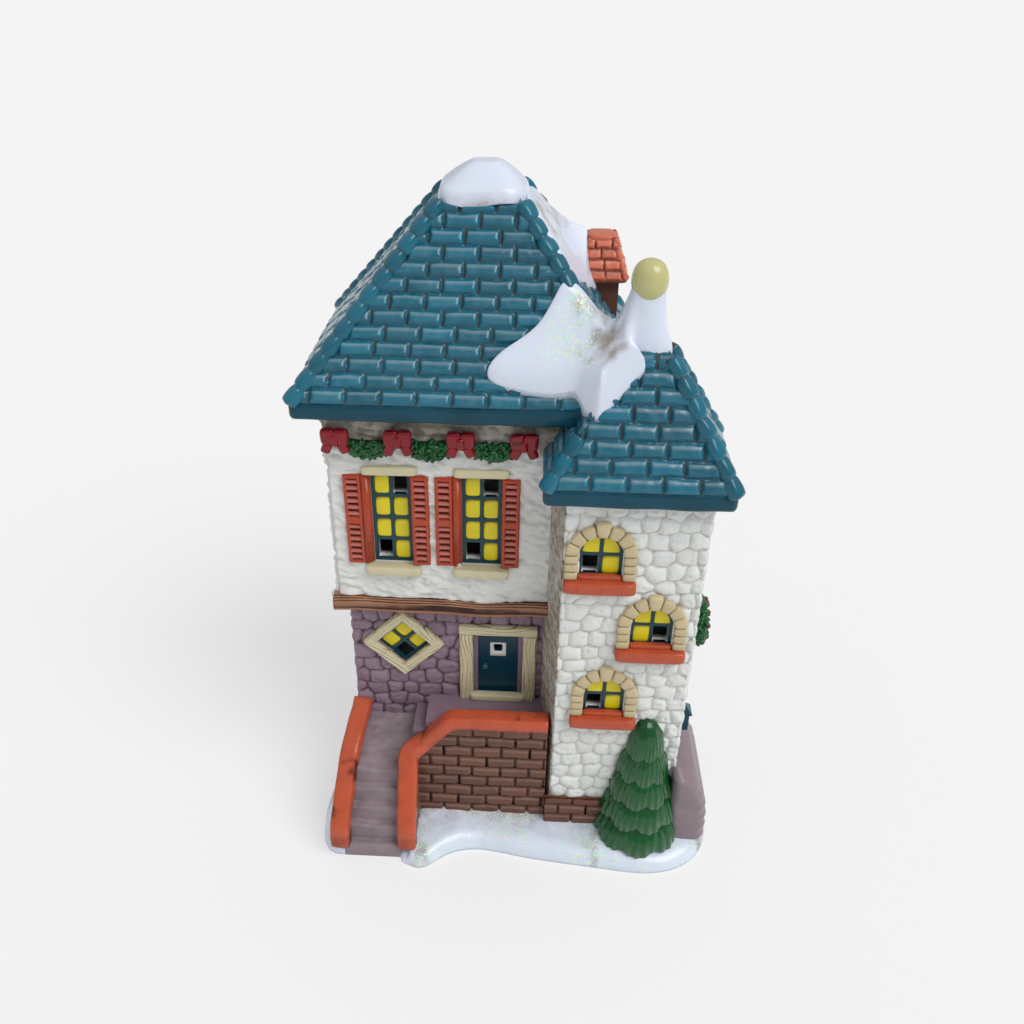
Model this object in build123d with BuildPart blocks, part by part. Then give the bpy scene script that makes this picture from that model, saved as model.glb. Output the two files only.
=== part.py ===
from build123d import *
import os
from dataclasses import dataclass
from math import sqrt

# A lit ceramic christmas village house. Lengths are in millimetres. +Z is up, the house faces
# -Y, and the origin is the middle of the base's underside.

# Snow-covered base
LEFT_MARGIN = 7.35
RIGHT_MARGIN = 12.75
BACK_MARGIN = 8.1
FORECOURT = 31.9
BASE_T = 5.0
BASE_EDGE = 1.8
FLOOR_LEDGE = 2.5
# Ground outline from the base's middle, as shares of its width and depth
BASE_OUTLINE_SHARES = (
    (-0.492, -0.400), (-0.462, -0.458), (-0.380, -0.458), (-0.300, -0.466), (-0.245, -0.500),
    (-0.200, -0.462), (-0.150, -0.428), (0.014, -0.438), (0.243, -0.468), (0.370, -0.468),
    (0.470, -0.390), (0.498, -0.250), (0.482, 0.030), (0.360, 0.210), (0.270, 0.390),
    (0.180, 0.478), (0.000, 0.490), (-0.200, 0.490), (-0.380, 0.480), (-0.475, 0.400),
    (-0.492, 0.200), (-0.488, 0.000), (-0.494, -0.200),
)

# Main house
MAIN_W = 74.0
MAIN_D = 54.0
LOWER_H = 71.5
UPPER_H = 60.0
WALL_T = 3.5
JETTY = 2.0
BEAM_H = 4.2
BEAM_PROUD = 2.2
BEAM_END = 1.6

# Stone courses of the lower storey and the tower
LOWER_ROWS = 15
TOWER_ROWS = 25
JOINT_W = 0.8
JOINT_DEEP = 0.6

# Stair tower
TOWER_W = 38.4
TOWER_D = 26.2
TOWER_OUT = 25.4
TOWER_PROJECTION = 15.2
TOWER_DROP = 15.2
PASSAGE_LINTEL = 8.0
PLINTH_H = 10.3
PLINTH_PROUD = 1.2

# Main roof
OVERHANG = 6.7
FASCIA_H = 5.0
ROOF_H = 46.5
ROOF_TOP_W = 15.5
ROOF_TOP_D = 15.0
RIDGE_SHIFT = 2.5
ROOF_CROWN = 8.0
COURSES = 12
TILE_STEP = 0.9
HIP_R = 1.9

# Tower roof
TOWER_OVERHANG = 4.0
TOWER_ROOF_H = 30.7
TOWER_TOP_W = 8.1
TOWER_TOP_D = 6.0
TOWER_RIDGE_SHIFT = 1.2
TOWER_CROWN = 6.0
TOWER_COURSES = 8

# Chimney
CHIMNEY_W = 8.0
CHIMNEY_INSET = 2.5
CHIMNEY_BACK = 15.5
CHIMNEY_UP = 19.4
HOOD_OVERHANG = 1.4
HOOD_TOP_W = 7.0
HOOD_H = 11.8
HOOD_COURSES = 4
HOOD_STEP = 0.8

# Snow on the roofs and the finial
SNOW_RISE_SHARE = 0.115
PEAK_SKIRT = 2.0
PEAK_PROUD = 0.6
PEAK_H = 5.0
PEAK_TOP_W = 9.0
PEAK_TOP_D = 8.0
PEAK_CORNER = 2.5
MOUND_R = 8.0
MOUND_OUT = 7.4
MOUND_BACK = 2.0
MOUND_UP = 4.0
NECK_SHIFT = -1.8
NECK_BACK = 1.7
NECK_R = 4.1
NECK_H = 11.7
FINIAL_R = 4.6
FINIAL_SEAT_R = 2.0
# Drift outline from the tower's left wall and the main front wall, as shares of the tower's
# width and depth
DRIFT_SHARES = (
    (-0.01, 0.33), (-0.18, 0.11), (-0.40, -0.03), (-0.50, -0.12), (-0.44, -0.18), (-0.18, -0.22),
    (0.06, -0.34), (0.21, -0.47), (0.34, -0.39), (0.48, -0.30), (0.44, -0.20), (0.60, -0.16),
    (0.68, -0.05), (0.62, 0.09), (0.36, 0.26), (0.16, 0.42),
)
# Slope snow outline from the ridge's middle, as shares of half the main eave's width and depth
SLOPE_SNOW_SHARES = (
    (0.15, -0.28), (0.33, -0.42), (0.50, -0.56), (0.66, -0.36), (0.78, 0.10), (0.80, 0.28),
    (0.66, 0.38), (0.34, 0.36), (0.14, 0.18),
)

# Upper windows: middles and width along the front bay, height and foot up the upper storey
WINDOW_MID_SHARES = (0.266, 0.666)
WINDOW_W_SHARE = 0.177
WINDOW_H_SHARE = 0.48
WINDOW_FOOT_SHARE = 0.225
WINDOW_COLS = 2
WINDOW_ROWS = 4
BAR_W = 1.0
LATTICE_INSET = 0.8
LATTICE_T = 1.2
PANE_T = 0.8
LINTEL_SIDE = 2.0
LINTEL_H = 3.2
LINTEL_PROUD = 1.4
SILL_SIDE = 2.4
SILL_H = 3.2
SILL_PROUD = 3.0

# Louvred shutters
SHUTTER_W_SHARE = 0.082
SHUTTER_H_SHARE = 0.473
SPLAY_SHARE = 0.036
SHUTTER_T = 1.9
SHUTTER_BACK = 0.8
SHUTTER_RIM = 0.8
SLAT_COUNT = 8
SLAT_SHARE = 0.6
SLAT_LIFT = 0.6

# Garland under the eave
BOW_W = 7.4
BOW_H = 7.6
BOW_T = 2.0
BOW_DROP_SHARE = 0.108
BOW_INSET = 2.4
BOW_PITCH_SHARE = 0.269
BOW_COUNT = 4
SWAG_R = 1.5
SWAG_DROP_SHARE = 0.075
# Half of a bow's outline from its knot, as shares of its width and height
BOW_SHARES = (
    (0.0, 0.14), (0.14, 0.22), (0.42, 0.46), (0.50, 0.30), (0.46, 0.06), (0.20, -0.02),
    (0.40, -0.40), (0.28, -0.50), (0.14, -0.42), (0.0, -0.10),
)

# Diamond window: place along the front bay and up the lower storey, reach as a share of the bay
DIAMOND_X_SHARE = 0.284
DIAMOND_Z_SHARE = 0.765
DIAMOND_R_SHARE = 0.203
DIAMOND_BOARD = 3.0
DIAMOND_PROUD = 1.6

# Front door: place and width along the front bay, landing and height up the lower storey
DOOR_X_SHARE = 0.745
DOOR_W_SHARE = 0.197
DOOR_H_SHARE = 0.329
LANDING_SHARE = 0.4755
DOOR_T = 1.6
DOOR_INSET = 1.0
JAMB_W = 1.3
JAMB_INSET = 0.4
SURROUND_W = 4.2
SURROUND_TOP = 3.4
SURROUND_PROUD = 1.6
DOOR_LIGHT = 2.6
DOOR_LIGHT_SHARE = 0.8
KNOB_R = 0.9
KNOB_OUT = 1.4
KNOB_EDGE = 2.2
DOOR_STEP_H = 2.4
DOOR_STEP_D = 2.6

# Arched tower windows: middles across the tower and sills up its walls, as shares
ARCH_X_SHARES = (0.292, 0.687, 0.397)
ARCH_Z_SHARES = (0.800, 0.607, 0.389)
ARCH_OPEN_COLS = (-1, 1, -1)
ARCH_W = 11.6
ARCH_H = 13.4
STONE_W = 3.5
STONE_PROUD = 1.4
STONE_JOINT = 0.4
STONE_ROWS = 3
STONE_FAN = 7
KEY_RISE = 1.4
KEY_W = 4.6
ARCH_SILL_W = 19.2
ARCH_SILL_H = 3.4
ARCH_SILL_PROUD = 3.2

# Stairs, landings, parapets and copings
PARAPET_T = 4.0
COPING_H = 4.2
COPING_W = 5.0
COPING_END = 1.2
STAIR_WALL_X = 17.5
STAIR_OUT = 28.5
STEP_COUNT = 5
STEP_RISE = 5.0
STEP_RUN = 2.8
LANDING_FALL = 6.0
SMALL_STEP_RUN = 4.0
BRICK_WALL_OUT = 14.0
COPING_UP = 6.2
COPING_KNEE_X = 32.6
COPING_CORNER_Z = 33.6
COPING_FOOT_Z = 13.0
LEFT_BACK_X = 4.0
LEFT_FOOT_OUT = 4.6
LEFT_BACK_Z = 37.0
LEFT_KNEE_Z = 31.0
LEFT_FOOT_Z = 14.5
LEFT_KNEE_SHARE = 0.52
BANK_W = 5.0
BANK_H = 22.0
BANK_FOOT_SHARE = 0.3
BANK_RUN_SHARE = 0.9

# Side steps on the tower's right
SIDE_OUT = 10.4
SIDE_TOP_OUT = 5.2
SIDE_FRONT = 5.6
SIDE_RISE_Z = 30.0
SIDE_STEPS = 6
SIDE_RUN = 4.1

# Fir tree against the tower
TREE_R = 13.6
TREE_H = 44.0
TREE_SHARE = 0.742
TREE_OUT = 0.2
TREE_TIERS = 5
TREE_WAIST_SHARE = 0.74
TREE_TIP_SHARE = 0.12

# Wreath and lantern on the tower's right wall
WREATH_R = 5.4
WREATH_TUBE = 2.3
WREATH_Z = 77.0
WREATH_BACK = 11.0
LANTERN_W = 3.8
LANTERN_H = 6.4
LANTERN_Z = 36.0
LANTERN_CAP_H = 2.8
LANTERN_CAP_OUT = 0.7

# Lamp pushed into the back wall
LAMP_Z = 32.0
LAMP_HOLE_R = 12.0
FLANGE_R = 14.5
FLANGE_T = 2.0
HOLDER_R = 9.0
HOLDER_IN = 8.0
HOLDER_OUT = 9.0
SHELL_R = 5.6
SHELL_T = 0.5
SHELL_DEEP = 2.0
SEAT_DEEP = 4.2
CONTACT_R = 3.5
CONTACT_T = 0.8
INLET_R = 2.3
CLIP_T = 0.5
CLIP_W = 4.0
CLIP_PROUD = 2.5
CLIP_SPAN = 6.6
THREAD_GAP = 0.1
SEAT_GAP = 0.05
BASE_CAP_T = 0.6
TIP_R = 1.8
TIP_GAP = 0.1
GLASS_R = 8.0
GLASS_L = 24.0
GLASS_T = 0.6
GLASS_NECK = 5.0
# Outer glass profile past the holder's mouth, as shares of its largest radius and length
GLASS_SHARES = ((0.70, 0.12), (1.0, 0.38), (0.78, 0.70), (0.30, 0.95))
POST_R = 0.35
POST_GAP = 3.0
POST_L = 13.0

# Overrun of every cut
CUT = 1.0


@dataclass(frozen=True)
class Rect:
    """A rectangle in plan: its middle, width and depth."""

    x: float
    y: float
    w: float
    d: float

    def grown(self, margin):
        """The same rectangle with a margin on every side."""
        return Rect(self.x, self.y, self.w + 2 * margin, self.d + 2 * margin)

    def towards(self, other, share):
        """The rectangle a share of the way to another one."""
        mine = (self.x, self.y, self.w, self.d)
        theirs = (other.x, other.y, other.w, other.d)
        return Rect(*(a + (b - a) * share for a, b in zip(mine, theirs)))

    @property
    def spans(self):
        """Low and high ends in x and in y."""
        return (
            (self.x - self.w / 2, self.x + self.w / 2),
            (self.y - self.d / 2, self.y + self.d / 2),
        )


# Places that follow from the sizes above
base_w = LEFT_MARGIN + MAIN_W + TOWER_OUT + RIGHT_MARGIN
base_d = FORECOURT + MAIN_D + BACK_MARGIN
main_x0 = -base_w / 2 + LEFT_MARGIN
main_x1 = main_x0 + MAIN_W
front_y = -base_d / 2 + FORECOURT
storey_z = BASE_T + LOWER_H
eave_z = storey_z + UPPER_H
tower_eave_z = eave_z - TOWER_DROP
upper = Rect((main_x0 + main_x1) / 2, front_y + MAIN_D / 2, MAIN_W, MAIN_D)
lower = upper.grown(-JETTY)
low_front_y = front_y + JETTY
tower_x1 = main_x1 + TOWER_OUT
tower_x0 = tower_x1 - TOWER_W
tower_y0 = front_y - TOWER_PROJECTION
tower_y1 = tower_y0 + TOWER_D
tower = Rect((tower_x0 + tower_x1) / 2, (tower_y0 + tower_y1) / 2, TOWER_W, TOWER_D)
bay_w = tower_x0 - main_x0
eave_top = eave_z + FASCIA_H
tower_eave_top = tower_eave_z + FASCIA_H
roof_top_z = eave_top + ROOF_H
tower_top_z = tower_eave_top + TOWER_ROOF_H
eave = upper.grown(OVERHANG)
ridge = Rect(upper.x + RIDGE_SHIFT, upper.y, ROOF_TOP_W, ROOF_TOP_D)
tower_eave = tower.grown(TOWER_OVERHANG)
tower_ridge = Rect(tower.x + TOWER_RIDGE_SHIFT, tower.y, TOWER_TOP_W, TOWER_TOP_D)
back_wall_y = front_y + MAIN_D - JETTY
landing_z = BASE_T + LOWER_H * LANDING_SHARE
door_w = bay_w * DOOR_W_SHARE
door_h = LOWER_H * DOOR_H_SHARE
diamond_r = bay_w * DIAMOND_R_SHARE
window_w = bay_w * WINDOW_W_SHARE
window_h = UPPER_H * WINDOW_H_SHARE
window_z = storey_z + UPPER_H * WINDOW_FOOT_SHARE
shutter_w = bay_w * SHUTTER_W_SHARE
shutter_h = UPPER_H * SHUTTER_H_SHARE
splay = bay_w * SPLAY_SHARE
bow_z = eave_z - UPPER_H * BOW_DROP_SHARE
chimney_z = eave_top + CHIMNEY_UP
snow_rise = ROOF_H * SNOW_RISE_SHARE
coping_top_z = landing_z + COPING_UP


def block(x, y, z, mode=Mode.ADD):
    """A box between the low and high ends of its sides."""
    with Locations(((x[0] + x[1]) / 2, (y[0] + y[1]) / 2, (z[0] + z[1]) / 2)):
        Box(x[1] - x[0], y[1] - y[0], z[1] - z[0], mode=mode)


def save(builder, name):
    """Label a finished piece and write its file."""
    builder.part.label = name
    export_step(builder.part, f"parts/{name}.step")


def keep_largest(builder):
    """Leave out chips that a cut broke off the piece."""
    add(builder.solids().sort_by(SortBy.VOLUME)[-1], mode=Mode.REPLACE)


def front_plane(x, y, z):
    """Plane on a wall that faces the front: local x runs right, local y runs up."""
    return Plane(origin=(x, y, z), x_dir=(1, 0, 0), z_dir=(0, -1, 0))


def left_plane(x, y, z):
    """Plane on a wall that faces left: local x runs to the front, local y runs up."""
    return Plane(origin=(x, y, z), x_dir=(0, -1, 0), z_dir=(-1, 0, 0))


def bed_joints(walls, z0, z1, rows):
    """Level grooves between stone courses, round the outside of four walls."""
    with BuildPart() as grooves:
        for row in range(1, rows):
            z = z0 + (z1 - z0) * row / rows
            block(*walls.grown(CUT).spans, (z - JOINT_W / 2, z + JOINT_W / 2))
        block(*walls.grown(-JOINT_DEEP).spans, (z0, z1), mode=Mode.SUBTRACT)
    return grooves.part


def frustum(low, high, z0, z1):
    """Four sloping sides between a lower and an upper rectangle."""
    with BuildPart() as body:
        with BuildSketch(Plane.XY.offset(z0)):
            with Locations((low.x, low.y)):
                Rectangle(low.w, low.d)
        with BuildSketch(Plane.XY.offset(z1)):
            with Locations((high.x, high.y)):
                Rectangle(high.w, high.d)
        loft()
    return body.part


def tiled_hip(low, high, z0, z1, courses, step):
    """Stepped tile courses from a lower to an upper rectangle."""
    with BuildPart() as body:
        for course in range(courses):
            share0, share1 = course / courses, (course + 1) / courses
            add(frustum(
                low.towards(high, share0).grown(step),
                low.towards(high, share1),
                z0 + (z1 - z0) * share0,
                z0 + (z1 - z0) * share1,
            ))
    return body.part


def filled_roof(low, high, z_eave, z_low, z_high, courses):
    """A roof as one block: fascia, tile courses and a round roll along each hip."""
    tiles = tiled_hip(low, high, z_low, z_high, courses, TILE_STEP)
    with BuildPart() as roof:
        with BuildSketch(Plane.XY.offset(z_eave)):
            with Locations((low.x, low.y)):
                Rectangle(low.w, low.d)
        extrude(amount=z_low - z_eave)
        add(tiles)
        for side in (-1, 1):
            for end in (-1, 1):
                foot = Vector(low.x + side * low.w / 2, low.y + end * low.d / 2, z_low)
                head = Vector(high.x + side * high.w / 2, high.y + end * high.d / 2, z_high)
                with BuildSketch(Plane(origin=foot, z_dir=head - foot)):
                    Circle(HIP_R)
                extrude(amount=(head - foot).length)
    return roof.part


def grid_sketch(w, h, cols, rows):
    """Window lattice: a rectangle with its panes cut out."""
    pitch_x = (w - BAR_W) / cols
    pitch_y = (h - BAR_W) / rows
    with BuildSketch() as grid:
        Rectangle(w, h)
        with GridLocations(pitch_x, pitch_y, cols, rows):
            Rectangle(pitch_x - BAR_W, pitch_y - BAR_W, mode=Mode.SUBTRACT)
    return grid.sketch


def pane_sketch(w, h, cols, rows, open_panes):
    """Pane sheet of a window, with the panes that are cut through left out."""
    pitch_x = (w - BAR_W) / cols
    pitch_y = (h - BAR_W) / rows
    with BuildSketch() as sheet:
        Rectangle(w, h)
        for col, row in open_panes:
            place = ((col - (cols - 1) / 2) * pitch_x, (row - (rows - 1) / 2) * pitch_y)
            with Locations(place):
                Rectangle(pitch_x - BAR_W, pitch_y - BAR_W, mode=Mode.SUBTRACT)
    return sheet.sketch


def arch_sketch(w, h):
    """Round-headed opening that stands on the local origin."""
    left, right = (-w / 2, h - w / 2), (w / 2, h - w / 2)
    with BuildSketch() as arch:
        with BuildLine():
            Polyline(left, (-w / 2, 0), (w / 2, 0), right)
            ThreePointArc(left, (0, h), right)
        make_face()
    return arch.sketch


def step_profile(y0, z0, run, rise, count, y_end, z_end):
    """Side view of a flight from its foot to the back of its landing, as points."""
    points = [(y0, 0)]
    for step in range(count):
        points.append((y0 + step * run, z0 + step * rise))
        points.append((y0 + (step + 1) * run, z0 + step * rise))
    points[-1] = (y_end, z_end)
    points.append((y_end, 0))
    return points


os.makedirs("parts", exist_ok=True)

# Stair geometry that several pieces share
stair_wall_x0 = main_x0 + STAIR_WALL_X
stair_wall_x1 = stair_wall_x0 + PARAPET_T
stair_y = front_y - STAIR_OUT
brick_y0 = front_y - BRICK_WALL_OUT
brick_y1 = brick_y0 + PARAPET_T
landing_x = stair_wall_x1 - (COPING_W - PARAPET_T)
coping_side = (COPING_W - PARAPET_T) / 2
left_back = Vector(main_x0 + LEFT_BACK_X, low_front_y, 0)
left_foot = Vector(left_back.X - LEFT_FOOT_OUT, stair_y, 0)
left_run = left_foot - left_back
left_dir = left_run.normalized()
left_wall_plane = Plane(origin=left_back, x_dir=left_dir, z_dir=(left_dir.Y, -left_dir.X, 0))
left_inner = PARAPET_T / 2 / -left_dir.Y

# Base with its snow bank, an open floor under the house and a slot for the stair flight
flight_plan = [
    (left_foot.X + left_inner, stair_y),
    (stair_wall_x0, stair_y),
    (stair_wall_x0, brick_y1),
    (landing_x, brick_y1),
    (landing_x, low_front_y),
    (left_back.X + left_inner, low_front_y),
]
slot_front = [(flight_plan[0][0], -base_d), (flight_plan[1][0], -base_d)]
with BuildPart() as snow_base:
    with BuildSketch():
        with BuildLine():
            Spline(*((base_w * sx, base_d * sy) for sx, sy in BASE_OUTLINE_SHARES), periodic=True)
        make_face()
    extrude(amount=BASE_T)
    fillet(snow_base.faces().sort_by(Axis.Z)[-1].edges(), radius=BASE_EDGE)
    for along, size in ((0, 1), (BANK_RUN_SHARE, BANK_FOOT_SHARE)):
        start = left_back + left_run * along
        with BuildSketch(Plane(origin=start, x_dir=left_wall_plane.z_dir, z_dir=-left_dir)):
            with BuildLine():
                Polyline(
                    (PARAPET_T / 2, BASE_T / 2),
                    (PARAPET_T / 2 + BANK_W * size, BASE_T / 2),
                    (PARAPET_T / 2, BASE_T + BANK_H * size),
                    close=True,
                )
            make_face()
    loft()
    floor = lower.grown(-WALL_T - FLOOR_LEDGE)
    block(*floor.spans, (-CUT, BASE_T + CUT), mode=Mode.SUBTRACT)
    block(*lower.spans, (BASE_T, storey_z), mode=Mode.SUBTRACT)
    with BuildSketch():
        with BuildLine():
            Polyline(*slot_front, *flight_plan[1:], flight_plan[0], close=True)
        make_face()
    extrude(amount=storey_z, mode=Mode.SUBTRACT)
save(snow_base, "snow_base")

# Stair flight with its sloping landing
flight_top = BASE_T + (STEP_COUNT - 1) * STEP_RISE + LANDING_FALL
flight_points = step_profile(
    stair_y, BASE_T, STEP_RUN, STEP_RISE, STEP_COUNT, low_front_y, flight_top
)
with BuildPart() as stair_flight:
    with BuildSketch():
        with BuildLine():
            Polyline(*flight_plan, close=True)
        make_face()
    extrude(amount=storey_z)
    with BuildSketch(Plane.YZ.offset(stair_wall_x0 - MAIN_W)):
        with BuildLine():
            Polyline(*flight_points, close=True)
        make_face()
    extrude(amount=2 * MAIN_W, mode=Mode.INTERSECT)
save(stair_flight, "stair_flight")

# Landing in front of the door, with one small step up to it from the flight's landing
small_step_z = (flight_top + landing_z) / 2
with BuildPart() as door_landing:
    block((landing_x, landing_x + SMALL_STEP_RUN), (brick_y1, low_front_y), (BASE_T, small_step_z))
    block((landing_x + SMALL_STEP_RUN, tower_x0), (brick_y1, low_front_y), (BASE_T, landing_z))
save(door_landing, "door_landing")

# Brick walls in front of the landing and beside the flight
coping_knee_x = main_x0 + COPING_KNEE_X
wall_top_z = coping_top_z - COPING_H
corner_z = COPING_CORNER_Z - COPING_H
foot_z = COPING_FOOT_Z - COPING_H
with BuildPart() as front_brick_wall:
    with BuildSketch(front_plane(0, brick_y1, 0)):
        with BuildLine():
            Polyline(
                (stair_wall_x1, BASE_T), (tower_x0, BASE_T), (tower_x0, wall_top_z),
                (coping_knee_x, wall_top_z), (stair_wall_x1, corner_z),
                close=True,
            )
        make_face()
    extrude(amount=PARAPET_T)
save(front_brick_wall, "front_brick_wall")

with BuildPart() as stair_brick_wall:
    with BuildSketch(Plane.YZ.offset(stair_wall_x0)):
        with BuildLine():
            Polyline(
                (brick_y1, BASE_T), (brick_y1, corner_z), (brick_y0, corner_z),
                (stair_y + COPING_END, foot_z), (stair_y + COPING_END, BASE_T),
                close=True,
            )
        make_face()
    extrude(amount=PARAPET_T)
save(stair_brick_wall, "stair_brick_wall")

# Coping over both brick walls, ending in a post face at the stair foot
coping_y = (brick_y0 - coping_side, brick_y1 + coping_side)
with BuildPart() as right_coping:
    with BuildSketch(front_plane(0, coping_y[1], 0)):
        with BuildLine():
            Polyline(
                (tower_x0, wall_top_z), (tower_x0, coping_top_z), (coping_knee_x, coping_top_z),
                (stair_wall_x1, COPING_CORNER_Z), (stair_wall_x0, COPING_CORNER_Z),
                (stair_wall_x0, corner_z), (stair_wall_x1, corner_z), (coping_knee_x, wall_top_z),
                close=True,
            )
        make_face()
    extrude(amount=COPING_W)
    with BuildSketch(Plane.YZ.offset(stair_wall_x0 - coping_side)):
        with BuildLine():
            Polyline(
                (coping_y[1], corner_z), (coping_y[1], COPING_CORNER_Z),
                (brick_y0, COPING_CORNER_Z), (stair_y, COPING_FOOT_Z), (stair_y, BASE_T),
                (stair_y + COPING_END, BASE_T), (stair_y + COPING_END, foot_z),
                (brick_y0, corner_z),
                close=True,
            )
        make_face()
    extrude(amount=COPING_W)
    add(front_brick_wall.part, mode=Mode.SUBTRACT)
    add(door_landing.part, mode=Mode.SUBTRACT)
    add(stair_flight.part, mode=Mode.SUBTRACT)
save(right_coping, "right_coping")

# Left parapet and its coping, along the slanting left side of the flight
left_l = left_run.length
left_knee = left_l * LEFT_KNEE_SHARE
with BuildPart() as left_parapet:
    with BuildSketch(left_wall_plane):
        with BuildLine():
            Polyline(
                (0, BASE_T), (0, LEFT_BACK_Z - COPING_H), (left_knee, LEFT_KNEE_Z - COPING_H),
                (left_l - COPING_END, LEFT_FOOT_Z - COPING_H), (left_l - COPING_END, BASE_T),
                close=True,
            )
        make_face()
    extrude(amount=PARAPET_T / 2, both=True)
    block(*lower.spans, (0, storey_z), mode=Mode.SUBTRACT)
save(left_parapet, "left_parapet")

with BuildPart() as left_coping:
    with BuildSketch(left_wall_plane):
        with BuildLine():
            Polyline(
                (0, LEFT_BACK_Z - COPING_H), (0, LEFT_BACK_Z), (left_knee, LEFT_KNEE_Z),
                (left_l, LEFT_FOOT_Z), (left_l, BASE_T), (left_l - COPING_END, BASE_T),
                (left_l - COPING_END, LEFT_FOOT_Z - COPING_H),
                (left_knee, LEFT_KNEE_Z - COPING_H),
                close=True,
            )
        make_face()
    extrude(amount=COPING_W / 2, both=True)
    block(*lower.spans, (0, storey_z), mode=Mode.SUBTRACT)
    add(stair_flight.part, mode=Mode.SUBTRACT)
    add(snow_base.part, mode=Mode.SUBTRACT)
save(left_coping, "left_coping")

# Walls of the two storeys, open to each other and to the tower
diamond_x = main_x0 + bay_w * DIAMOND_X_SHARE
diamond_z = BASE_T + LOWER_H * DIAMOND_Z_SHARE
door_x = main_x0 + bay_w * DOOR_X_SHARE
diamond_in = diamond_r - DIAMOND_BOARD * sqrt(2)
diamond_side = diamond_in * sqrt(2)
door_open_w = door_w + 2 * JAMB_W
door_open_h = door_h + JAMB_W
window_mid_z = window_z + window_h / 2
window_planes = {
    "left": front_plane(main_x0 + bay_w * WINDOW_MID_SHARES[0], front_y, window_mid_z),
    "right": front_plane(main_x0 + bay_w * WINDOW_MID_SHARES[1], front_y, window_mid_z),
    "side": left_plane(main_x0, upper.y, window_mid_z),
}
passage = ((tower_x0 + WALL_T, tower_x1), (tower_y0, tower_y1 - WALL_T))
diamond_plane = front_plane(diamond_x, low_front_y, diamond_z)
door_plane = front_plane(door_x, low_front_y, landing_z)
lamp_plane = Plane(
    origin=(lower.x, back_wall_y, LAMP_Z), x_dir=(1, 0, 0), z_dir=(0, -1, 0)
)
with BuildPart() as lower_walls:
    block(*lower.spans, (BASE_T, storey_z))
    block(*lower.grown(-WALL_T).spans, (0, storey_z + CUT), mode=Mode.SUBTRACT)
    block(*passage, (0, storey_z + CUT), mode=Mode.SUBTRACT)
    with BuildSketch(diamond_plane):
        Rectangle(diamond_side, diamond_side, rotation=45)
    extrude(amount=-WALL_T - CUT, mode=Mode.SUBTRACT)
    with BuildSketch(door_plane):
        Rectangle(door_open_w, door_open_h, align=(Align.CENTER, Align.MIN))
    extrude(amount=-WALL_T - CUT, mode=Mode.SUBTRACT)
    with BuildSketch(lamp_plane):
        Circle(LAMP_HOLE_R)
    extrude(amount=WALL_T + CUT, mode=Mode.SUBTRACT)
    add(bed_joints(lower, BASE_T, storey_z, LOWER_ROWS), mode=Mode.SUBTRACT)
save(lower_walls, "lower_walls")

with BuildPart() as upper_walls:
    block(*upper.spans, (storey_z, eave_z))
    block(*upper.grown(-WALL_T).spans, (storey_z - CUT, eave_z + CUT), mode=Mode.SUBTRACT)
    block(*passage, (storey_z - CUT, tower_eave_z - PASSAGE_LINTEL), mode=Mode.SUBTRACT)
    for plane in window_planes.values():
        with BuildSketch(plane):
            Rectangle(window_w, window_h)
        extrude(amount=-WALL_T - CUT, mode=Mode.SUBTRACT)
save(upper_walls, "upper_walls")

# Timber beam along the foot of the upper storey
with BuildPart() as jetty_beam:
    beam_x = (main_x0 - BEAM_END, tower_x0)
    beam_mid = storey_z
    block(beam_x, (front_y - BEAM_PROUD, front_y), (beam_mid - BEAM_H / 2, beam_mid + BEAM_H / 2))
    block(beam_x, (front_y, low_front_y), (beam_mid - BEAM_H / 2, beam_mid))
save(jetty_beam, "jetty_beam")

# Tower walls, built against the main house
arch_inner = arch_sketch(ARCH_W, ARCH_H)
tower_wall_h = tower_eave_z - BASE_T
arch_planes = [
    front_plane(tower_x0 + TOWER_W * across, tower_y0, BASE_T + tower_wall_h * up)
    for across, up in zip(ARCH_X_SHARES, ARCH_Z_SHARES)
]
# The tower's left wall is smooth, so the joints' inner edge lies outside it
stone_sides = Rect(tower.x - JOINT_DEEP, tower.y, tower.w + 2 * JOINT_DEEP, tower.d)
with BuildPart() as tower_walls:
    block(*tower.spans, (BASE_T, tower_eave_z))
    block(*tower.grown(-WALL_T).spans, (0, tower_eave_z + CUT), mode=Mode.SUBTRACT)
    block(*lower.spans, (0, storey_z), mode=Mode.SUBTRACT)
    block(*upper.spans, (storey_z, eave_z), mode=Mode.SUBTRACT)
    for plane in arch_planes:
        with BuildSketch(plane):
            add(arch_inner)
        extrude(amount=-WALL_T - CUT, mode=Mode.SUBTRACT)
    add(bed_joints(stone_sides, BASE_T, tower_eave_z, TOWER_ROWS), mode=Mode.SUBTRACT)
save(tower_walls, "tower_walls")

with BuildPart() as tower_plinth:
    block((tower_x0, tower_x1), (tower_y0 - PLINTH_PROUD, tower_y0), (BASE_T, BASE_T + PLINTH_H))
save(tower_plinth, "tower_plinth")

# Roof shells
main_filled = filled_roof(eave, ridge, eave_z, eave_top, roof_top_z, COURSES)
tower_filled = filled_roof(
    tower_eave, tower_ridge, tower_eave_z, tower_eave_top, tower_top_z, TOWER_COURSES
)
main_cover = frustum(eave.grown(TILE_STEP), ridge.grown(TILE_STEP), eave_top, roof_top_z)
tower_cover = frustum(
    tower_eave.grown(TILE_STEP), tower_ridge.grown(TILE_STEP), tower_eave_top, tower_top_z
)
main_hollow = frustum(upper.grown(-WALL_T), ridge, eave_z - CUT, roof_top_z - ROOF_CROWN)
tower_hollow = frustum(
    tower.grown(-WALL_T), tower_ridge, tower_eave_z - CUT, tower_top_z - TOWER_CROWN
)
with BuildPart() as main_roof:
    add(main_filled)
    add(main_hollow, mode=Mode.SUBTRACT)
save(main_roof, "main_roof")

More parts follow.
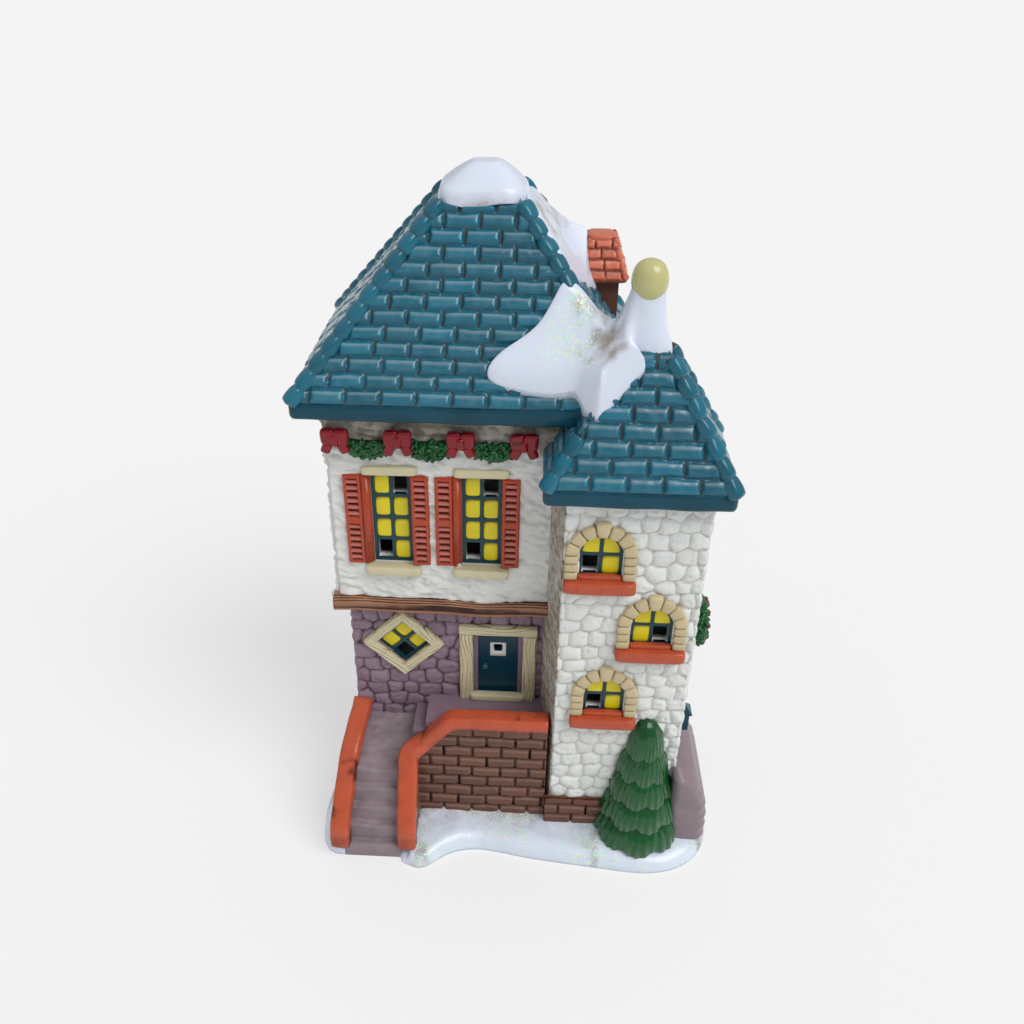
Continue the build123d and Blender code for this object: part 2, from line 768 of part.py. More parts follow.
with BuildPart() as tower_roof:
    add(tower_filled)
    add(tower_hollow, mode=Mode.SUBTRACT)
    add(main_filled, mode=Mode.SUBTRACT)
    block(*upper.spans, (storey_z, eave_z), mode=Mode.SUBTRACT)
save(tower_roof, "tower_roof")

# Chimney on the right slope
chimney = Rect(main_x1 - CHIMNEY_INSET, upper.y + CHIMNEY_BACK - CHIMNEY_W / 2, CHIMNEY_W, CHIMNEY_W)
hood_low = chimney.grown(HOOD_OVERHANG)
hood_high = Rect(chimney.x, chimney.y, HOOD_TOP_W, HOOD_TOP_W)
with BuildPart() as chimney_stack:
    block(*chimney.spans, (eave_top, chimney_z))
    add(main_cover, mode=Mode.SUBTRACT)
save(chimney_stack, "chimney_stack")

with BuildPart() as chimney_hood:
    add(tiled_hip(hood_low, hood_high, chimney_z, chimney_z + HOOD_H, HOOD_COURSES, HOOD_STEP))
    add(main_cover, mode=Mode.SUBTRACT)
save(chimney_hood, "chimney_hood")

# Snow cap on the peak
peak_z = roof_top_z - PEAK_SKIRT
peak_share = (peak_z - eave_top) / (roof_top_z - eave_top)
peak_low = eave.towards(ridge, peak_share).grown(PEAK_PROUD)
with BuildPart() as peak_snow:
    with BuildSketch(Plane.XY.offset(peak_z)):
        with Locations((peak_low.x, peak_low.y)):
            RectangleRounded(peak_low.w, peak_low.d, PEAK_CORNER)
    with BuildSketch(Plane.XY.offset(roof_top_z + PEAK_H)):
        with Locations((ridge.x, ridge.y)):
            RectangleRounded(PEAK_TOP_W, PEAK_TOP_D, PEAK_CORNER)
    loft()
    add(main_filled, mode=Mode.SUBTRACT)
save(peak_snow, "peak_snow")

# Snow layers: both roofs raised by the snow's depth, cut to an outline, less the roofs below
with BuildPart() as snow_layer:
    add(Pos(0, 0, snow_rise) * frustum(eave, ridge, eave_top, roof_top_z))
    add(Pos(0, 0, snow_rise) * frustum(tower_eave, tower_ridge, tower_eave_top, tower_top_z))
neck_x, neck_y = tower_ridge.x + NECK_SHIFT, tower_ridge.y + NECK_BACK
neck_top = tower_top_z + NECK_H
with BuildPart() as valley_snow:
    with BuildSketch(Plane.XY.offset(tower_eave_top)):
        with BuildLine():
            Spline(
                *((tower_x0 + TOWER_W * sx, front_y + TOWER_D * sy) for sx, sy in DRIFT_SHARES),
                periodic=True,
            )
        make_face()
    extrude(amount=roof_top_z - tower_eave_top)
    add(snow_layer.part, mode=Mode.INTERSECT)
    with BuildSketch(Plane.XY.offset(neck_top)):
        with Locations((neck_x, neck_y)):
            Circle(NECK_R)
    extrude(amount=-NECK_H - snow_rise)
    block(*eave.spans, (storey_z, eave_top), mode=Mode.SUBTRACT)
    for covered in (main_cover, tower_cover, main_filled, tower_filled):
        add(covered, mode=Mode.SUBTRACT)
    keep_largest(valley_snow)
save(valley_snow, "valley_snow")

with BuildPart() as slope_snow:
    with BuildSketch(Plane.XY.offset(eave_top)):
        with BuildLine():
            Spline(
                *(
                    (ridge.x + eave.w / 2 * sx, ridge.y + eave.d / 2 * sy)
                    for sx, sy in SLOPE_SNOW_SHARES
                ),
                periodic=True,
            )
        make_face()
    extrude(amount=peak_z - eave_top)
    add(snow_layer.part, mode=Mode.INTERSECT)
    with Locations((chimney.x - MOUND_OUT, chimney.y + MOUND_BACK, chimney_z + MOUND_UP)):
        Sphere(MOUND_R)
    for covered in (main_cover, tower_cover, main_filled, tower_filled):
        add(covered, mode=Mode.SUBTRACT)
    for piece in (valley_snow, chimney_stack, chimney_hood):
        add(piece.part, mode=Mode.SUBTRACT)
    keep_largest(slope_snow)
save(slope_snow, "slope_snow")

# Finial ball, flattened where it sits on the snow neck
finial_z = neck_top + sqrt(FINIAL_R**2 - FINIAL_SEAT_R**2)
with BuildPart() as tower_finial:
    with Locations((neck_x, neck_y, finial_z)):
        Sphere(FINIAL_R)
    split(bisect_by=Plane.XY.offset(neck_top))
save(tower_finial, "tower_finial")

# Upper windows: lattices, panes, lintels, sills and shutters
window_grid = grid_sketch(window_w, window_h, WINDOW_COLS, WINDOW_ROWS)
window_panes = pane_sketch(
    window_w, window_h, WINDOW_COLS, WINDOW_ROWS, ((0, 0), (WINDOW_COLS - 1, WINDOW_ROWS - 1))
)
for side, plane in window_planes.items():
    with BuildPart() as upper_lattice:
        with BuildSketch(plane.offset(-LATTICE_INSET)):
            add(window_grid)
        extrude(amount=-LATTICE_T)
    save(upper_lattice, f"upper_lattice_{side}")

with BuildPart() as upper_window_panes:
    for plane in window_planes.values():
        with BuildSketch(plane.offset(-LATTICE_INSET - LATTICE_T)):
            add(window_panes)
        extrude(amount=-PANE_T)
save(upper_window_panes, "upper_window_panes")

with BuildPart() as window_lintels:
    for plane in window_planes.values():
        with BuildSketch(plane):
            with Locations((0, window_h / 2 + LINTEL_H / 2)):
                Rectangle(window_w + 2 * LINTEL_SIDE, LINTEL_H)
        extrude(amount=LINTEL_PROUD)
save(window_lintels, "window_lintels")

with BuildPart() as window_sills:
    for plane in window_planes.values():
        with BuildSketch(plane):
            with Locations((0, -window_h / 2 - SILL_H / 2)):
                Rectangle(window_w + 2 * SILL_SIDE, SILL_H)
        extrude(amount=SILL_PROUD)
save(window_sills, "window_sills")

panel_h = (shutter_h - 3 * SHUTTER_RIM) / 2
panel_w = shutter_w - 2 * SHUTTER_RIM
slat_pitch = panel_h / SLAT_COUNT
shutter_mids = (
    -window_w / 2 - splay - shutter_w / 2,
    window_w / 2 + shutter_w / 2,
)
for side, plane in window_planes.items():
    with BuildPart() as shutters:
        for mid in shutter_mids:
            with BuildSketch(plane):
                with Locations((mid, 0)):
                    Rectangle(shutter_w, shutter_h)
            extrude(amount=SHUTTER_T)
            with BuildSketch(plane.offset(SHUTTER_BACK)):
                with Locations((mid, 0)):
                    with GridLocations(0, panel_h + SHUTTER_RIM, 1, 2):
                        Rectangle(panel_w, panel_h)
            extrude(amount=SHUTTER_T, mode=Mode.SUBTRACT)
            with BuildSketch(plane.offset(SHUTTER_BACK)):
                with Locations((mid, 0)):
                    with GridLocations(0, panel_h + SHUTTER_RIM, 1, 2):
                        with GridLocations(0, slat_pitch, 1, SLAT_COUNT):
                            Rectangle(panel_w, slat_pitch * SLAT_SHARE)
            extrude(amount=SLAT_LIFT)
        with BuildSketch(Plane(plane.origin, x_dir=plane.x_dir, z_dir=plane.y_dir)):
            with BuildLine():
                Polyline(
                    (-window_w / 2 - splay, 0),
                    (-window_w / 2, 0),
                    (-window_w / 2 - splay, -SHUTTER_T),
                    close=True,
                )
            make_face()
        extrude(amount=shutter_h / 2, both=True)
    save(shutters, f"shutters_{side}")

# Garland: swags against the wall, with bows over the places where they meet
bow_x = [main_x0 + BOW_INSET + bay_w * BOW_PITCH_SHARE * i for i in range(BOW_COUNT)]
swag_y = front_y - SWAG_R
with BuildPart() as garland_swags:
    for x0, x1 in zip(bow_x, bow_x[1:]):
        with BuildLine() as swag_line:
            ThreePointArc(
                (x0 + SWAG_R, swag_y, bow_z),
                ((x0 + x1) / 2, swag_y, bow_z - UPPER_H * SWAG_DROP_SHARE),
                (x1 - SWAG_R, swag_y, bow_z),
            )
        with BuildSketch(Plane(origin=swag_line.line @ 0, z_dir=swag_line.line % 0)):
            Circle(SWAG_R)
        sweep(path=swag_line.line)
save(garland_swags, "garland_swags")

bow_points = [(BOW_W * sx, BOW_H * sy) for sx, sy in BOW_SHARES]
bow_outline = bow_points + [(-x, y) for x, y in reversed(bow_points[1:-1])]
with BuildPart() as garland_bows:
    for x in bow_x:
        with BuildSketch(front_plane(x, front_y - 2 * SWAG_R, bow_z)):
            with BuildLine():
                Polyline(*bow_outline, close=True)
            make_face()
        extrude(amount=BOW_T)
save(garland_bows, "garland_bows")

# Diamond window
with BuildPart() as diamond_frame:
    with BuildSketch(diamond_plane):
        Rectangle(diamond_r * sqrt(2), diamond_r * sqrt(2), rotation=45)
        Rectangle(diamond_side, diamond_side, rotation=45, mode=Mode.SUBTRACT)
    extrude(amount=DIAMOND_PROUD)
save(diamond_frame, "diamond_frame")

diamond_turn = Plane(diamond_plane.origin, x_dir=(1, 0, 1), z_dir=diamond_plane.z_dir)
with BuildPart() as diamond_lattice:
    with BuildSketch(diamond_turn.offset(-LATTICE_INSET)):
        add(grid_sketch(diamond_side, diamond_side, 2, 2))
    extrude(amount=-LATTICE_T)
save(diamond_lattice, "diamond_lattice")

with BuildPart() as diamond_panes:
    with BuildSketch(diamond_turn.offset(-LATTICE_INSET - LATTICE_T)):
        add(pane_sketch(diamond_side, diamond_side, 2, 2, ((0, 0),)))
    extrude(amount=-PANE_T)
save(diamond_panes, "diamond_panes")

# Front door
with BuildPart() as door_surround:
    with BuildSketch(door_plane):
        Rectangle(
            door_open_w + 2 * SURROUND_W,
            door_open_h + SURROUND_TOP,
            align=(Align.CENTER, Align.MIN),
        )
        Rectangle(door_open_w, door_open_h, align=(Align.CENTER, Align.MIN), mode=Mode.SUBTRACT)
    extrude(amount=SURROUND_PROUD)
save(door_surround, "door_surround")

with BuildPart() as door_jamb:
    with BuildSketch(door_plane.offset(-JAMB_INSET)):
        Rectangle(door_open_w, door_open_h, align=(Align.CENTER, Align.MIN))
        Rectangle(door_w, door_h, align=(Align.CENTER, Align.MIN), mode=Mode.SUBTRACT)
    extrude(amount=-WALL_T + JAMB_INSET)
save(door_jamb, "door_jamb")

with BuildPart() as door_leaf:
    with BuildSketch(door_plane.offset(-DOOR_INSET)):
        Rectangle(door_w, door_h, align=(Align.CENTER, Align.MIN))
        with Locations((0, door_h * DOOR_LIGHT_SHARE)):
            Rectangle(DOOR_LIGHT, DOOR_LIGHT, mode=Mode.SUBTRACT)
    extrude(amount=-DOOR_T)
save(door_leaf, "door_leaf")

with BuildPart() as door_knob:
    with BuildSketch(door_plane.offset(-DOOR_INSET)):
        with Locations((-door_w / 2 + KNOB_EDGE, door_h / 2)):
            Circle(KNOB_R)
    extrude(amount=KNOB_OUT)
    fillet(door_knob.faces().sort_by(Axis.Y)[0].edges(), radius=KNOB_R / 2)
save(door_knob, "door_knob")

with BuildPart() as door_step:
    with BuildSketch(door_plane):
        Rectangle(door_open_w, DOOR_STEP_H, align=(Align.CENTER, Align.MIN))
    extrude(amount=DOOR_STEP_D)
save(door_step, "door_step")

# Arched tower windows: stones, lattices, panes and sills
arch_spring = ARCH_H - ARCH_W / 2
fan_step = 180 / STONE_FAN
with BuildSketch() as arch_stone_sketch:
    add(arch_sketch(ARCH_W + 2 * STONE_W, ARCH_H + STONE_W))
    with Locations((0, ARCH_H + STONE_W - KEY_RISE)):
        Rectangle(KEY_W, 2 * KEY_RISE, align=(Align.CENTER, Align.MIN))
    add(arch_inner, mode=Mode.SUBTRACT)
    for row in range(1, STONE_ROWS + 1):
        with Locations((0, arch_spring * row / STONE_ROWS)):
            Rectangle(ARCH_W + 3 * STONE_W, STONE_JOINT, mode=Mode.SUBTRACT)
    with Locations((0, arch_spring)):
        with PolarLocations(0, STONE_FAN - 1, start_angle=fan_step, angular_range=180 - fan_step):
            Rectangle(
                ARCH_W + 2 * STONE_W,
                STONE_JOINT,
                align=(Align.MIN, Align.CENTER),
                mode=Mode.SUBTRACT,
            )
for name, plane in zip(("high", "middle", "low"), arch_planes):
    with BuildPart() as arch_stones:
        with BuildSketch(plane):
            add(arch_stone_sketch.sketch)
        extrude(amount=STONE_PROUD)
    save(arch_stones, f"arch_stones_{name}")

pane_w = (ARCH_W - 3 * BAR_W) / 2
pane_low_h = arch_spring - 2 * BAR_W
with BuildSketch() as arch_bars:
    add(arch_inner)
    with Locations((0, BAR_W)):
        add(arch_sketch(ARCH_W - 2 * BAR_W, ARCH_H - 2 * BAR_W), mode=Mode.SUBTRACT)
    with Locations((0, ARCH_H / 2)):
        Rectangle(BAR_W, ARCH_H - BAR_W)
    with Locations((0, arch_spring - BAR_W / 2)):
        Rectangle(ARCH_W - BAR_W, BAR_W)
with BuildPart() as tower_lattices:
    for plane in arch_planes:
        with BuildSketch(plane.offset(-LATTICE_INSET)):
            add(arch_bars.sketch)
        extrude(amount=-LATTICE_T)
save(tower_lattices, "tower_lattices")

with BuildPart() as tower_window_panes:
    for plane, col in zip(arch_planes, ARCH_OPEN_COLS):
        with BuildSketch(plane.offset(-LATTICE_INSET - LATTICE_T)):
            add(arch_inner)
            with Locations((col * (pane_w + BAR_W) / 2, BAR_W + pane_low_h / 2)):
                Rectangle(pane_w, pane_low_h, mode=Mode.SUBTRACT)
        extrude(amount=-PANE_T)
save(tower_window_panes, "tower_window_panes")

with BuildPart() as tower_sills:
    for plane in arch_planes:
        with BuildSketch(plane):
            Rectangle(ARCH_SILL_W, ARCH_SILL_H, align=(Align.CENTER, Align.MAX))
        extrude(amount=ARCH_SILL_PROUD)
save(tower_sills, "tower_sills")

# Steps that climb along the tower's right wall, narrowing towards their landing
side_y0 = tower_y0 - SIDE_FRONT
side_y1 = side_y0 + SIDE_RUN * SIDE_STEPS
side_rise = (SIDE_RISE_Z - BASE_T) / SIDE_STEPS
side_points = step_profile(
    side_y0, BASE_T + side_rise, SIDE_RUN, side_rise, SIDE_STEPS, tower_y1, SIDE_RISE_Z
)
with BuildPart() as side_steps:
    with BuildSketch(Plane.XY.offset(BASE_T)):
        with BuildLine():
            Polyline(
                (tower_x1, side_y0), (tower_x1 + SIDE_OUT, side_y0),
                (tower_x1 + SIDE_TOP_OUT, side_y1), (tower_x1 + SIDE_TOP_OUT, tower_y1),
                (tower_x1, tower_y1),
                close=True,
            )
        make_face()
    extrude(amount=SIDE_RISE_Z)
    with BuildSketch(Plane.YZ.offset(tower_x1)):
        with BuildLine():
            Polyline(*side_points, close=True)
        make_face()
    extrude(amount=SIDE_OUT, mode=Mode.INTERSECT)
save(side_steps, "side_steps")

# Fir tree in half relief against the tower
tree_x = tower_x0 + TOWER_W * TREE_SHARE
tree_y = tower_y0 - TREE_OUT
tree_points = [(0, BASE_T)]
for tier in range(TREE_TIERS):
    share0, share1 = tier / TREE_TIERS, (tier + 1) / TREE_TIERS
    tier_r = TREE_R * (1 - share0 * (1 - TREE_TIP_SHARE))
    next_r = TREE_R * (1 - share1 * (1 - TREE_TIP_SHARE))
    tree_points.append((tier_r, BASE_T + TREE_H * share0))
    tree_points.append((next_r * TREE_WAIST_SHARE, BASE_T + TREE_H * share1))
tree_points[-1] = (0, BASE_T + TREE_H)
with BuildPart() as fir_tree:
    with BuildSketch(Plane(origin=(tree_x, tree_y, 0), x_dir=(1, 0, 0), z_dir=(0, -1, 0))):
        with BuildLine():
            Polyline(*tree_points, close=True)
        make_face()
    revolve(axis=Axis((tree_x, tree_y, 0), (0, 0, 1)))
    block(*tower.spans, (0, tower_eave_z), mode=Mode.SUBTRACT)
    add(tower_plinth.part, mode=Mode.SUBTRACT)
    add(tower_sills.part, mode=Mode.SUBTRACT)
    add(side_steps.part, mode=Mode.SUBTRACT)
save(fir_tree, "fir_tree")

# Wreath and lantern on the tower's right wall
wreath_plane = Plane(
    origin=(tower_x1 + WREATH_TUBE, tower_y0 + WREATH_BACK, WREATH_Z), z_dir=(1, 0, 0)
)
with BuildPart() as side_wreath:
    with Locations(wreath_plane.location):
        Torus(WREATH_R, WREATH_TUBE)
save(side_wreath, "side_wreath")

lantern = Rect(tower_x1 + LANTERN_W / 2, tower_y0 + WREATH_BACK, LANTERN_W, LANTERN_W)
lantern_top = LANTERN_Z + LANTERN_H
lantern_tip = Rect(lantern.x, lantern.y, LANTERN_CAP_OUT, LANTERN_CAP_OUT)
with BuildPart() as side_lantern:
    block(*lantern.spans, (LANTERN_Z, lantern_top))
    add(frustum(lantern.grown(LANTERN_CAP_OUT), lantern_tip, lantern_top, lantern_top + LANTERN_CAP_H))
    block(*tower.spans, (0, tower_eave_z), mode=Mode.SUBTRACT)
save(side_lantern, "side_lantern")

# Lamp holder. Along the lamp's axis, zero is the back wall's outer face and plus is inwards.
with BuildPart() as lamp_holder:
    with BuildSketch(lamp_plane.offset(-HOLDER_OUT)):
        Circle(HOLDER_R)
    extrude(amount=HOLDER_OUT + HOLDER_IN)
    with BuildSketch(lamp_plane.offset(-FLANGE_T)):
        Circle(FLANGE_R)
    extrude(amount=FLANGE_T)
    with BuildSketch(lamp_plane.offset(-SEAT_DEEP)):
        Circle(SHELL_R)
    extrude(amount=SEAT_DEEP + HOLDER_IN, mode=Mode.SUBTRACT)
    with BuildSketch(lamp_plane.offset(-HOLDER_OUT)):
        Circle(INLET_R)
    extrude(amount=HOLDER_OUT, mode=Mode.SUBTRACT)
save(lamp_holder, "lamp_holder")

shell_in_r = SHELL_R - SHELL_T - SEAT_GAP
with BuildPart() as lamp_shell:
    with BuildSketch(lamp_plane.offset(-SHELL_DEEP)):
        Circle(SHELL_R - SEAT_GAP)
        Circle(shell_in_r, mode=Mode.SUBTRACT)
    extrude(amount=SHELL_DEEP + HOLDER_IN)
save(lamp_shell, "lamp_shell")

with BuildPart() as lamp_contact:
    with BuildSketch(lamp_plane.offset(-SEAT_DEEP)):
        Circle(CONTACT_R)
    extrude(amount=CONTACT_T)
    with BuildSketch(lamp_plane.offset(-SEAT_DEEP)):
        Circle(INLET_R)
    extrude(amount=CONTACT_T / 2, mode=Mode.SUBTRACT)
save(lamp_contact, "lamp_contact")

# Bent spring clips on both sides of the holder, inside the wall
clip_mid = (HOLDER_IN + CLIP_T) / 2
clip_plane = Plane(origin=lamp_plane.origin, x_dir=(1, 0, 0), z_dir=(0, 0, 1))
with BuildPart() as lamp_clips:
    for side in (-1, 1):
        with BuildSketch(clip_plane):
            with BuildLine():
                Polyline(
                    (side * HOLDER_R, -clip_mid - CLIP_SPAN / 2),
                    (side * (HOLDER_R + CLIP_T), -clip_mid - CLIP_SPAN / 2),
                    (side * (HOLDER_R + CLIP_PROUD), -clip_mid),
                    (side * (HOLDER_R + CLIP_T), -clip_mid + CLIP_SPAN / 2),
                    (side * HOLDER_R, -clip_mid + CLIP_SPAN / 2),
                    (side * HOLDER_R, -clip_mid + CLIP_SPAN / 2 - CLIP_T),
                    (side * (HOLDER_R + CLIP_PROUD - 2 * CLIP_T), -clip_mid),
                    (side * HOLDER_R, -clip_mid - CLIP_SPAN / 2 + CLIP_T),
                    close=True,
                )
            make_face()
        extrude(amount=CLIP_W / 2, both=True)
save(lamp_clips, "lamp_clips")

# Bulb: screw base, contact tip, glass and filament
base_r = shell_in_r - THREAD_GAP
tip_z = -SEAT_DEEP + CONTACT_T + TIP_GAP
glass_foot = HOLDER_IN - GLASS_NECK
with BuildPart() as bulb_tip:
    with BuildSketch(lamp_plane.offset(tip_z)):
        Circle(TIP_R)
    extrude(amount=-SHELL_DEEP - tip_z)
save(bulb_tip, "bulb_tip")

with BuildPart() as bulb_base:
    with BuildSketch(lamp_plane.offset(-SHELL_DEEP)):
        Circle(base_r)
    extrude(amount=SHELL_DEEP + HOLDER_IN)
    with BuildSketch(lamp_plane.offset(-SHELL_DEEP + BASE_CAP_T)):
        Circle(base_r - BASE_CAP_T)
    extrude(amount=SHELL_DEEP + HOLDER_IN, mode=Mode.SUBTRACT)
save(bulb_base, "bulb_base")


def glass_face(inset):
    """Half section of the bulb, drawn in by a wall: x is the radius, y runs along the axis."""
    neck_r = base_r - BASE_CAP_T - SEAT_GAP - inset
    mouth = HOLDER_IN + THREAD_GAP
    bulge = [(GLASS_R * r - inset, mouth + GLASS_L * l) for r, l in GLASS_SHARES]
    tip = (0, mouth + GLASS_L - inset)
    with BuildSketch() as face:
        with BuildLine():
            Polyline((0, glass_foot + inset), (neck_r, glass_foot + inset), (neck_r, mouth))
            Spline((neck_r, mouth), *bulge, tip)
            Line(tip, (0, glass_foot + inset))
        make_face()
    return face.sketch


bulb_plane = Plane(origin=lamp_plane.origin, x_dir=(1, 0, 0), z_dir=(0, 0, -1))
lamp_axis = Axis(lamp_plane.origin, lamp_plane.z_dir)
with BuildPart() as bulb_glass:
    with BuildSketch(bulb_plane):
        add(glass_face(0))
    revolve(axis=lamp_axis)
    with BuildSketch(bulb_plane):
        add(glass_face(GLASS_T))
    revolve(axis=lamp_axis, mode=Mode.SUBTRACT)
save(bulb_glass, "bulb_glass")

post_z = glass_foot + GLASS_T
with BuildPart() as bulb_filament:
    with BuildSketch(lamp_plane.offset(post_z)):
        with GridLocations(POST_GAP, 0, 2, 1):
            Circle(POST_R)
    extrude(amount=POST_L)
    with BuildSketch(lamp_plane.offset(post_z + POST_L)):
        Rectangle(POST_GAP + 2 * POST_R, 2 * POST_R)
    extrude(amount=2 * POST_R)
save(bulb_filament, "bulb_filament")
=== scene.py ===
"""Looks of the ceramic christmas village house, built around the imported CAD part. Metres."""

import logging
from dataclasses import dataclass, replace
from enum import Enum
from functools import cache
from math import cos, pi, radians, sin
from typing import Callable

import bpy
import numpy as np
from mathutils import Matrix, Vector


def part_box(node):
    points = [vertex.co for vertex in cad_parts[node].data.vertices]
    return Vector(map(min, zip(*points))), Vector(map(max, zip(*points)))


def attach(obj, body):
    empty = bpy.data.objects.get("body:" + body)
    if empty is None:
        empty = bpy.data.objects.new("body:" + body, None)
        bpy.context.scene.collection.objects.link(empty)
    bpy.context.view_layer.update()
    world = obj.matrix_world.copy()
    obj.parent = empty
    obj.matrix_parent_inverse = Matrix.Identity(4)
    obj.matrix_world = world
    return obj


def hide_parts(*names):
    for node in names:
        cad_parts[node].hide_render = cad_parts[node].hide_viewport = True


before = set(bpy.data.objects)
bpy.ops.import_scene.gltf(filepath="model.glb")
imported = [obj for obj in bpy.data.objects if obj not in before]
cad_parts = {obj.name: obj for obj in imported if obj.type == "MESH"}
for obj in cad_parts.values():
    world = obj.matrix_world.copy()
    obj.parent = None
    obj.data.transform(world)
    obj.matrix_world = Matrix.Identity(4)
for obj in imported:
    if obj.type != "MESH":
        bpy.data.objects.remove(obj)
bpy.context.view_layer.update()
logging.basicConfig(level=logging.INFO, format="%(message)s")
log = logging.getLogger("village_house")

Array = np.ndarray
Relief = tuple[Array, Array, Array]
Pattern = Callable[[Array, Array], Relief]
Distance = Callable[[Array, Array], Array]
Colour = tuple[float, float, float, float]
UP = np.array((0.0, 0.0, 1.0))
RIGHT = np.array((1.0, 0.0, 0.0))
BACK = np.array((0.0, 1.0, 0.0))
COPING_CORNER = 0.0244
ARCH_WIDTH, ARCH_HEIGHT, ARCH_STONE = 0.0116, 0.0134, 0.0036
ARCH_SPRING = ARCH_HEIGHT - ARCH_WIDTH / 2


def span(node: str) -> tuple[Array, Array]:
    """Lowest and highest corner of a CAD node."""
    low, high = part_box(node)
    return np.array(low), np.array(high)


def srgb(red: int, green: int, blue: int) -> Colour:
    """Linear colour of an sRGB one.

    Args:
        red: red, 0 to 255.
        green: green, 0 to 255.
        blue: blue, 0 to 255.

    Returns:
        Linear red, green, blue and alpha.
    """
    part = np.array((red, green, blue)) / 255
    linear = np.where(part <= 0.04045, part / 12.92, ((part + 0.055) / 1.055) ** 2.4)
    return (*linear.tolist(), 1.0)


def lattice_random(cells: Array, seed: int) -> Array:
    """Repeatable random number for each whole-number lattice cell: the cell's coordinates are
    multiplied by large odd numbers, added and mixed by shifts.

    Args:
        cells: whole numbers in the last axis.
        seed: picks another set of numbers.

    Returns:
        Numbers from 0 to 1, one per cell.
    """
    factors = np.array((374761393, 668265263, 1103515245))[: cells.shape[-1]]
    mixed = ((cells.astype(np.int64) * factors).sum(axis=-1) + seed * 974634777) & 0xFFFFFFFF
    mixed = ((mixed ^ (mixed >> 13)) * 1274126177) & 0xFFFFFFFF
    return ((mixed ^ (mixed >> 16)) & 0xFFFF) / 0xFFFF


def smooth(value: Array, low: float, high: float) -> Array:
    """Smooth step: 0 up to low, 1 from high on."""
    share = np.clip((value - low) / (high - low), 0, 1)
    return share * share * (3 - 2 * share)


def round_edge(away: Array, radius: float) -> Array:
    """Height of a quarter circle: 0 at the edge, 1 from one radius away on."""
    return np.sqrt(np.clip(1 - (1 - np.clip(away / radius, 0, 1)) ** 2, 0, 1))


def stacked(*parts: Array | float) -> Array:
    """Coordinates spread to one shape and put in the last axis."""
    return np.stack(np.broadcast_arrays(*parts), axis=-1)


def turns(count: int) -> Array:
    """Angles once round, in radians."""
    return np.linspace(0, 2 * pi, count, endpoint=False)


def swollen(rings: Array, factor: Array) -> Array:
    """Rings of points scaled about their own middles."""
    middle = rings.mean(axis=1, keepdims=True)
    return middle + (rings - middle) * factor[..., None]


def noise(points: Array, scale: float, seed: int) -> Array:
    """Value noise: random numbers at lattice corners, blended by smooth steps along each axis.

    Args:
        points: places in the last axis, two or three coordinates.
        scale: size of a lattice cell.
        seed: picks another noise.

    Returns:
        Numbers from -1 to 1.
    """
    place = points / scale
    base = np.floor(place)
    share = smooth(place - base, 0.0, 1.0)
    total = np.zeros(points.shape[:-1])
    for corner in np.ndindex(*(2,) * points.shape[-1]):
        step = np.array(corner)
        weight = np.where(step, share, 1 - share).prod(axis=-1)
        total += weight * lattice_random(base + step, seed)
    return 2 * total - 1


def plane_noise(u: Array, v: Array, scale: float, seed: int) -> Array:
    """Value noise over two coordinates, from -1 to 1."""
    return noise(stacked(u, v), scale, seed)


def grid_quads(rows: int, cols: int, wrap_cols: bool = False, wrap_rows: bool = False) -> Array:
    """Quads between the points of a grid.

    Args:
        rows: rows of points.
        cols: columns of points.
        wrap_cols: join the last column to the first.
        wrap_rows: join the last row to the first.

    Returns:
        Four point numbers per quad.
    """
    row = np.arange(rows if wrap_rows else rows - 1)[:, None]
    col = np.arange(cols if wrap_cols else cols - 1)[None, :]
    next_row, next_col = (row + 1) % rows, (col + 1) % cols
    corners = (row * cols + col, row * cols + next_col, next_row * cols + next_col, next_row * cols + col)
    return np.stack(corners, axis=-1).reshape(-1, 4)


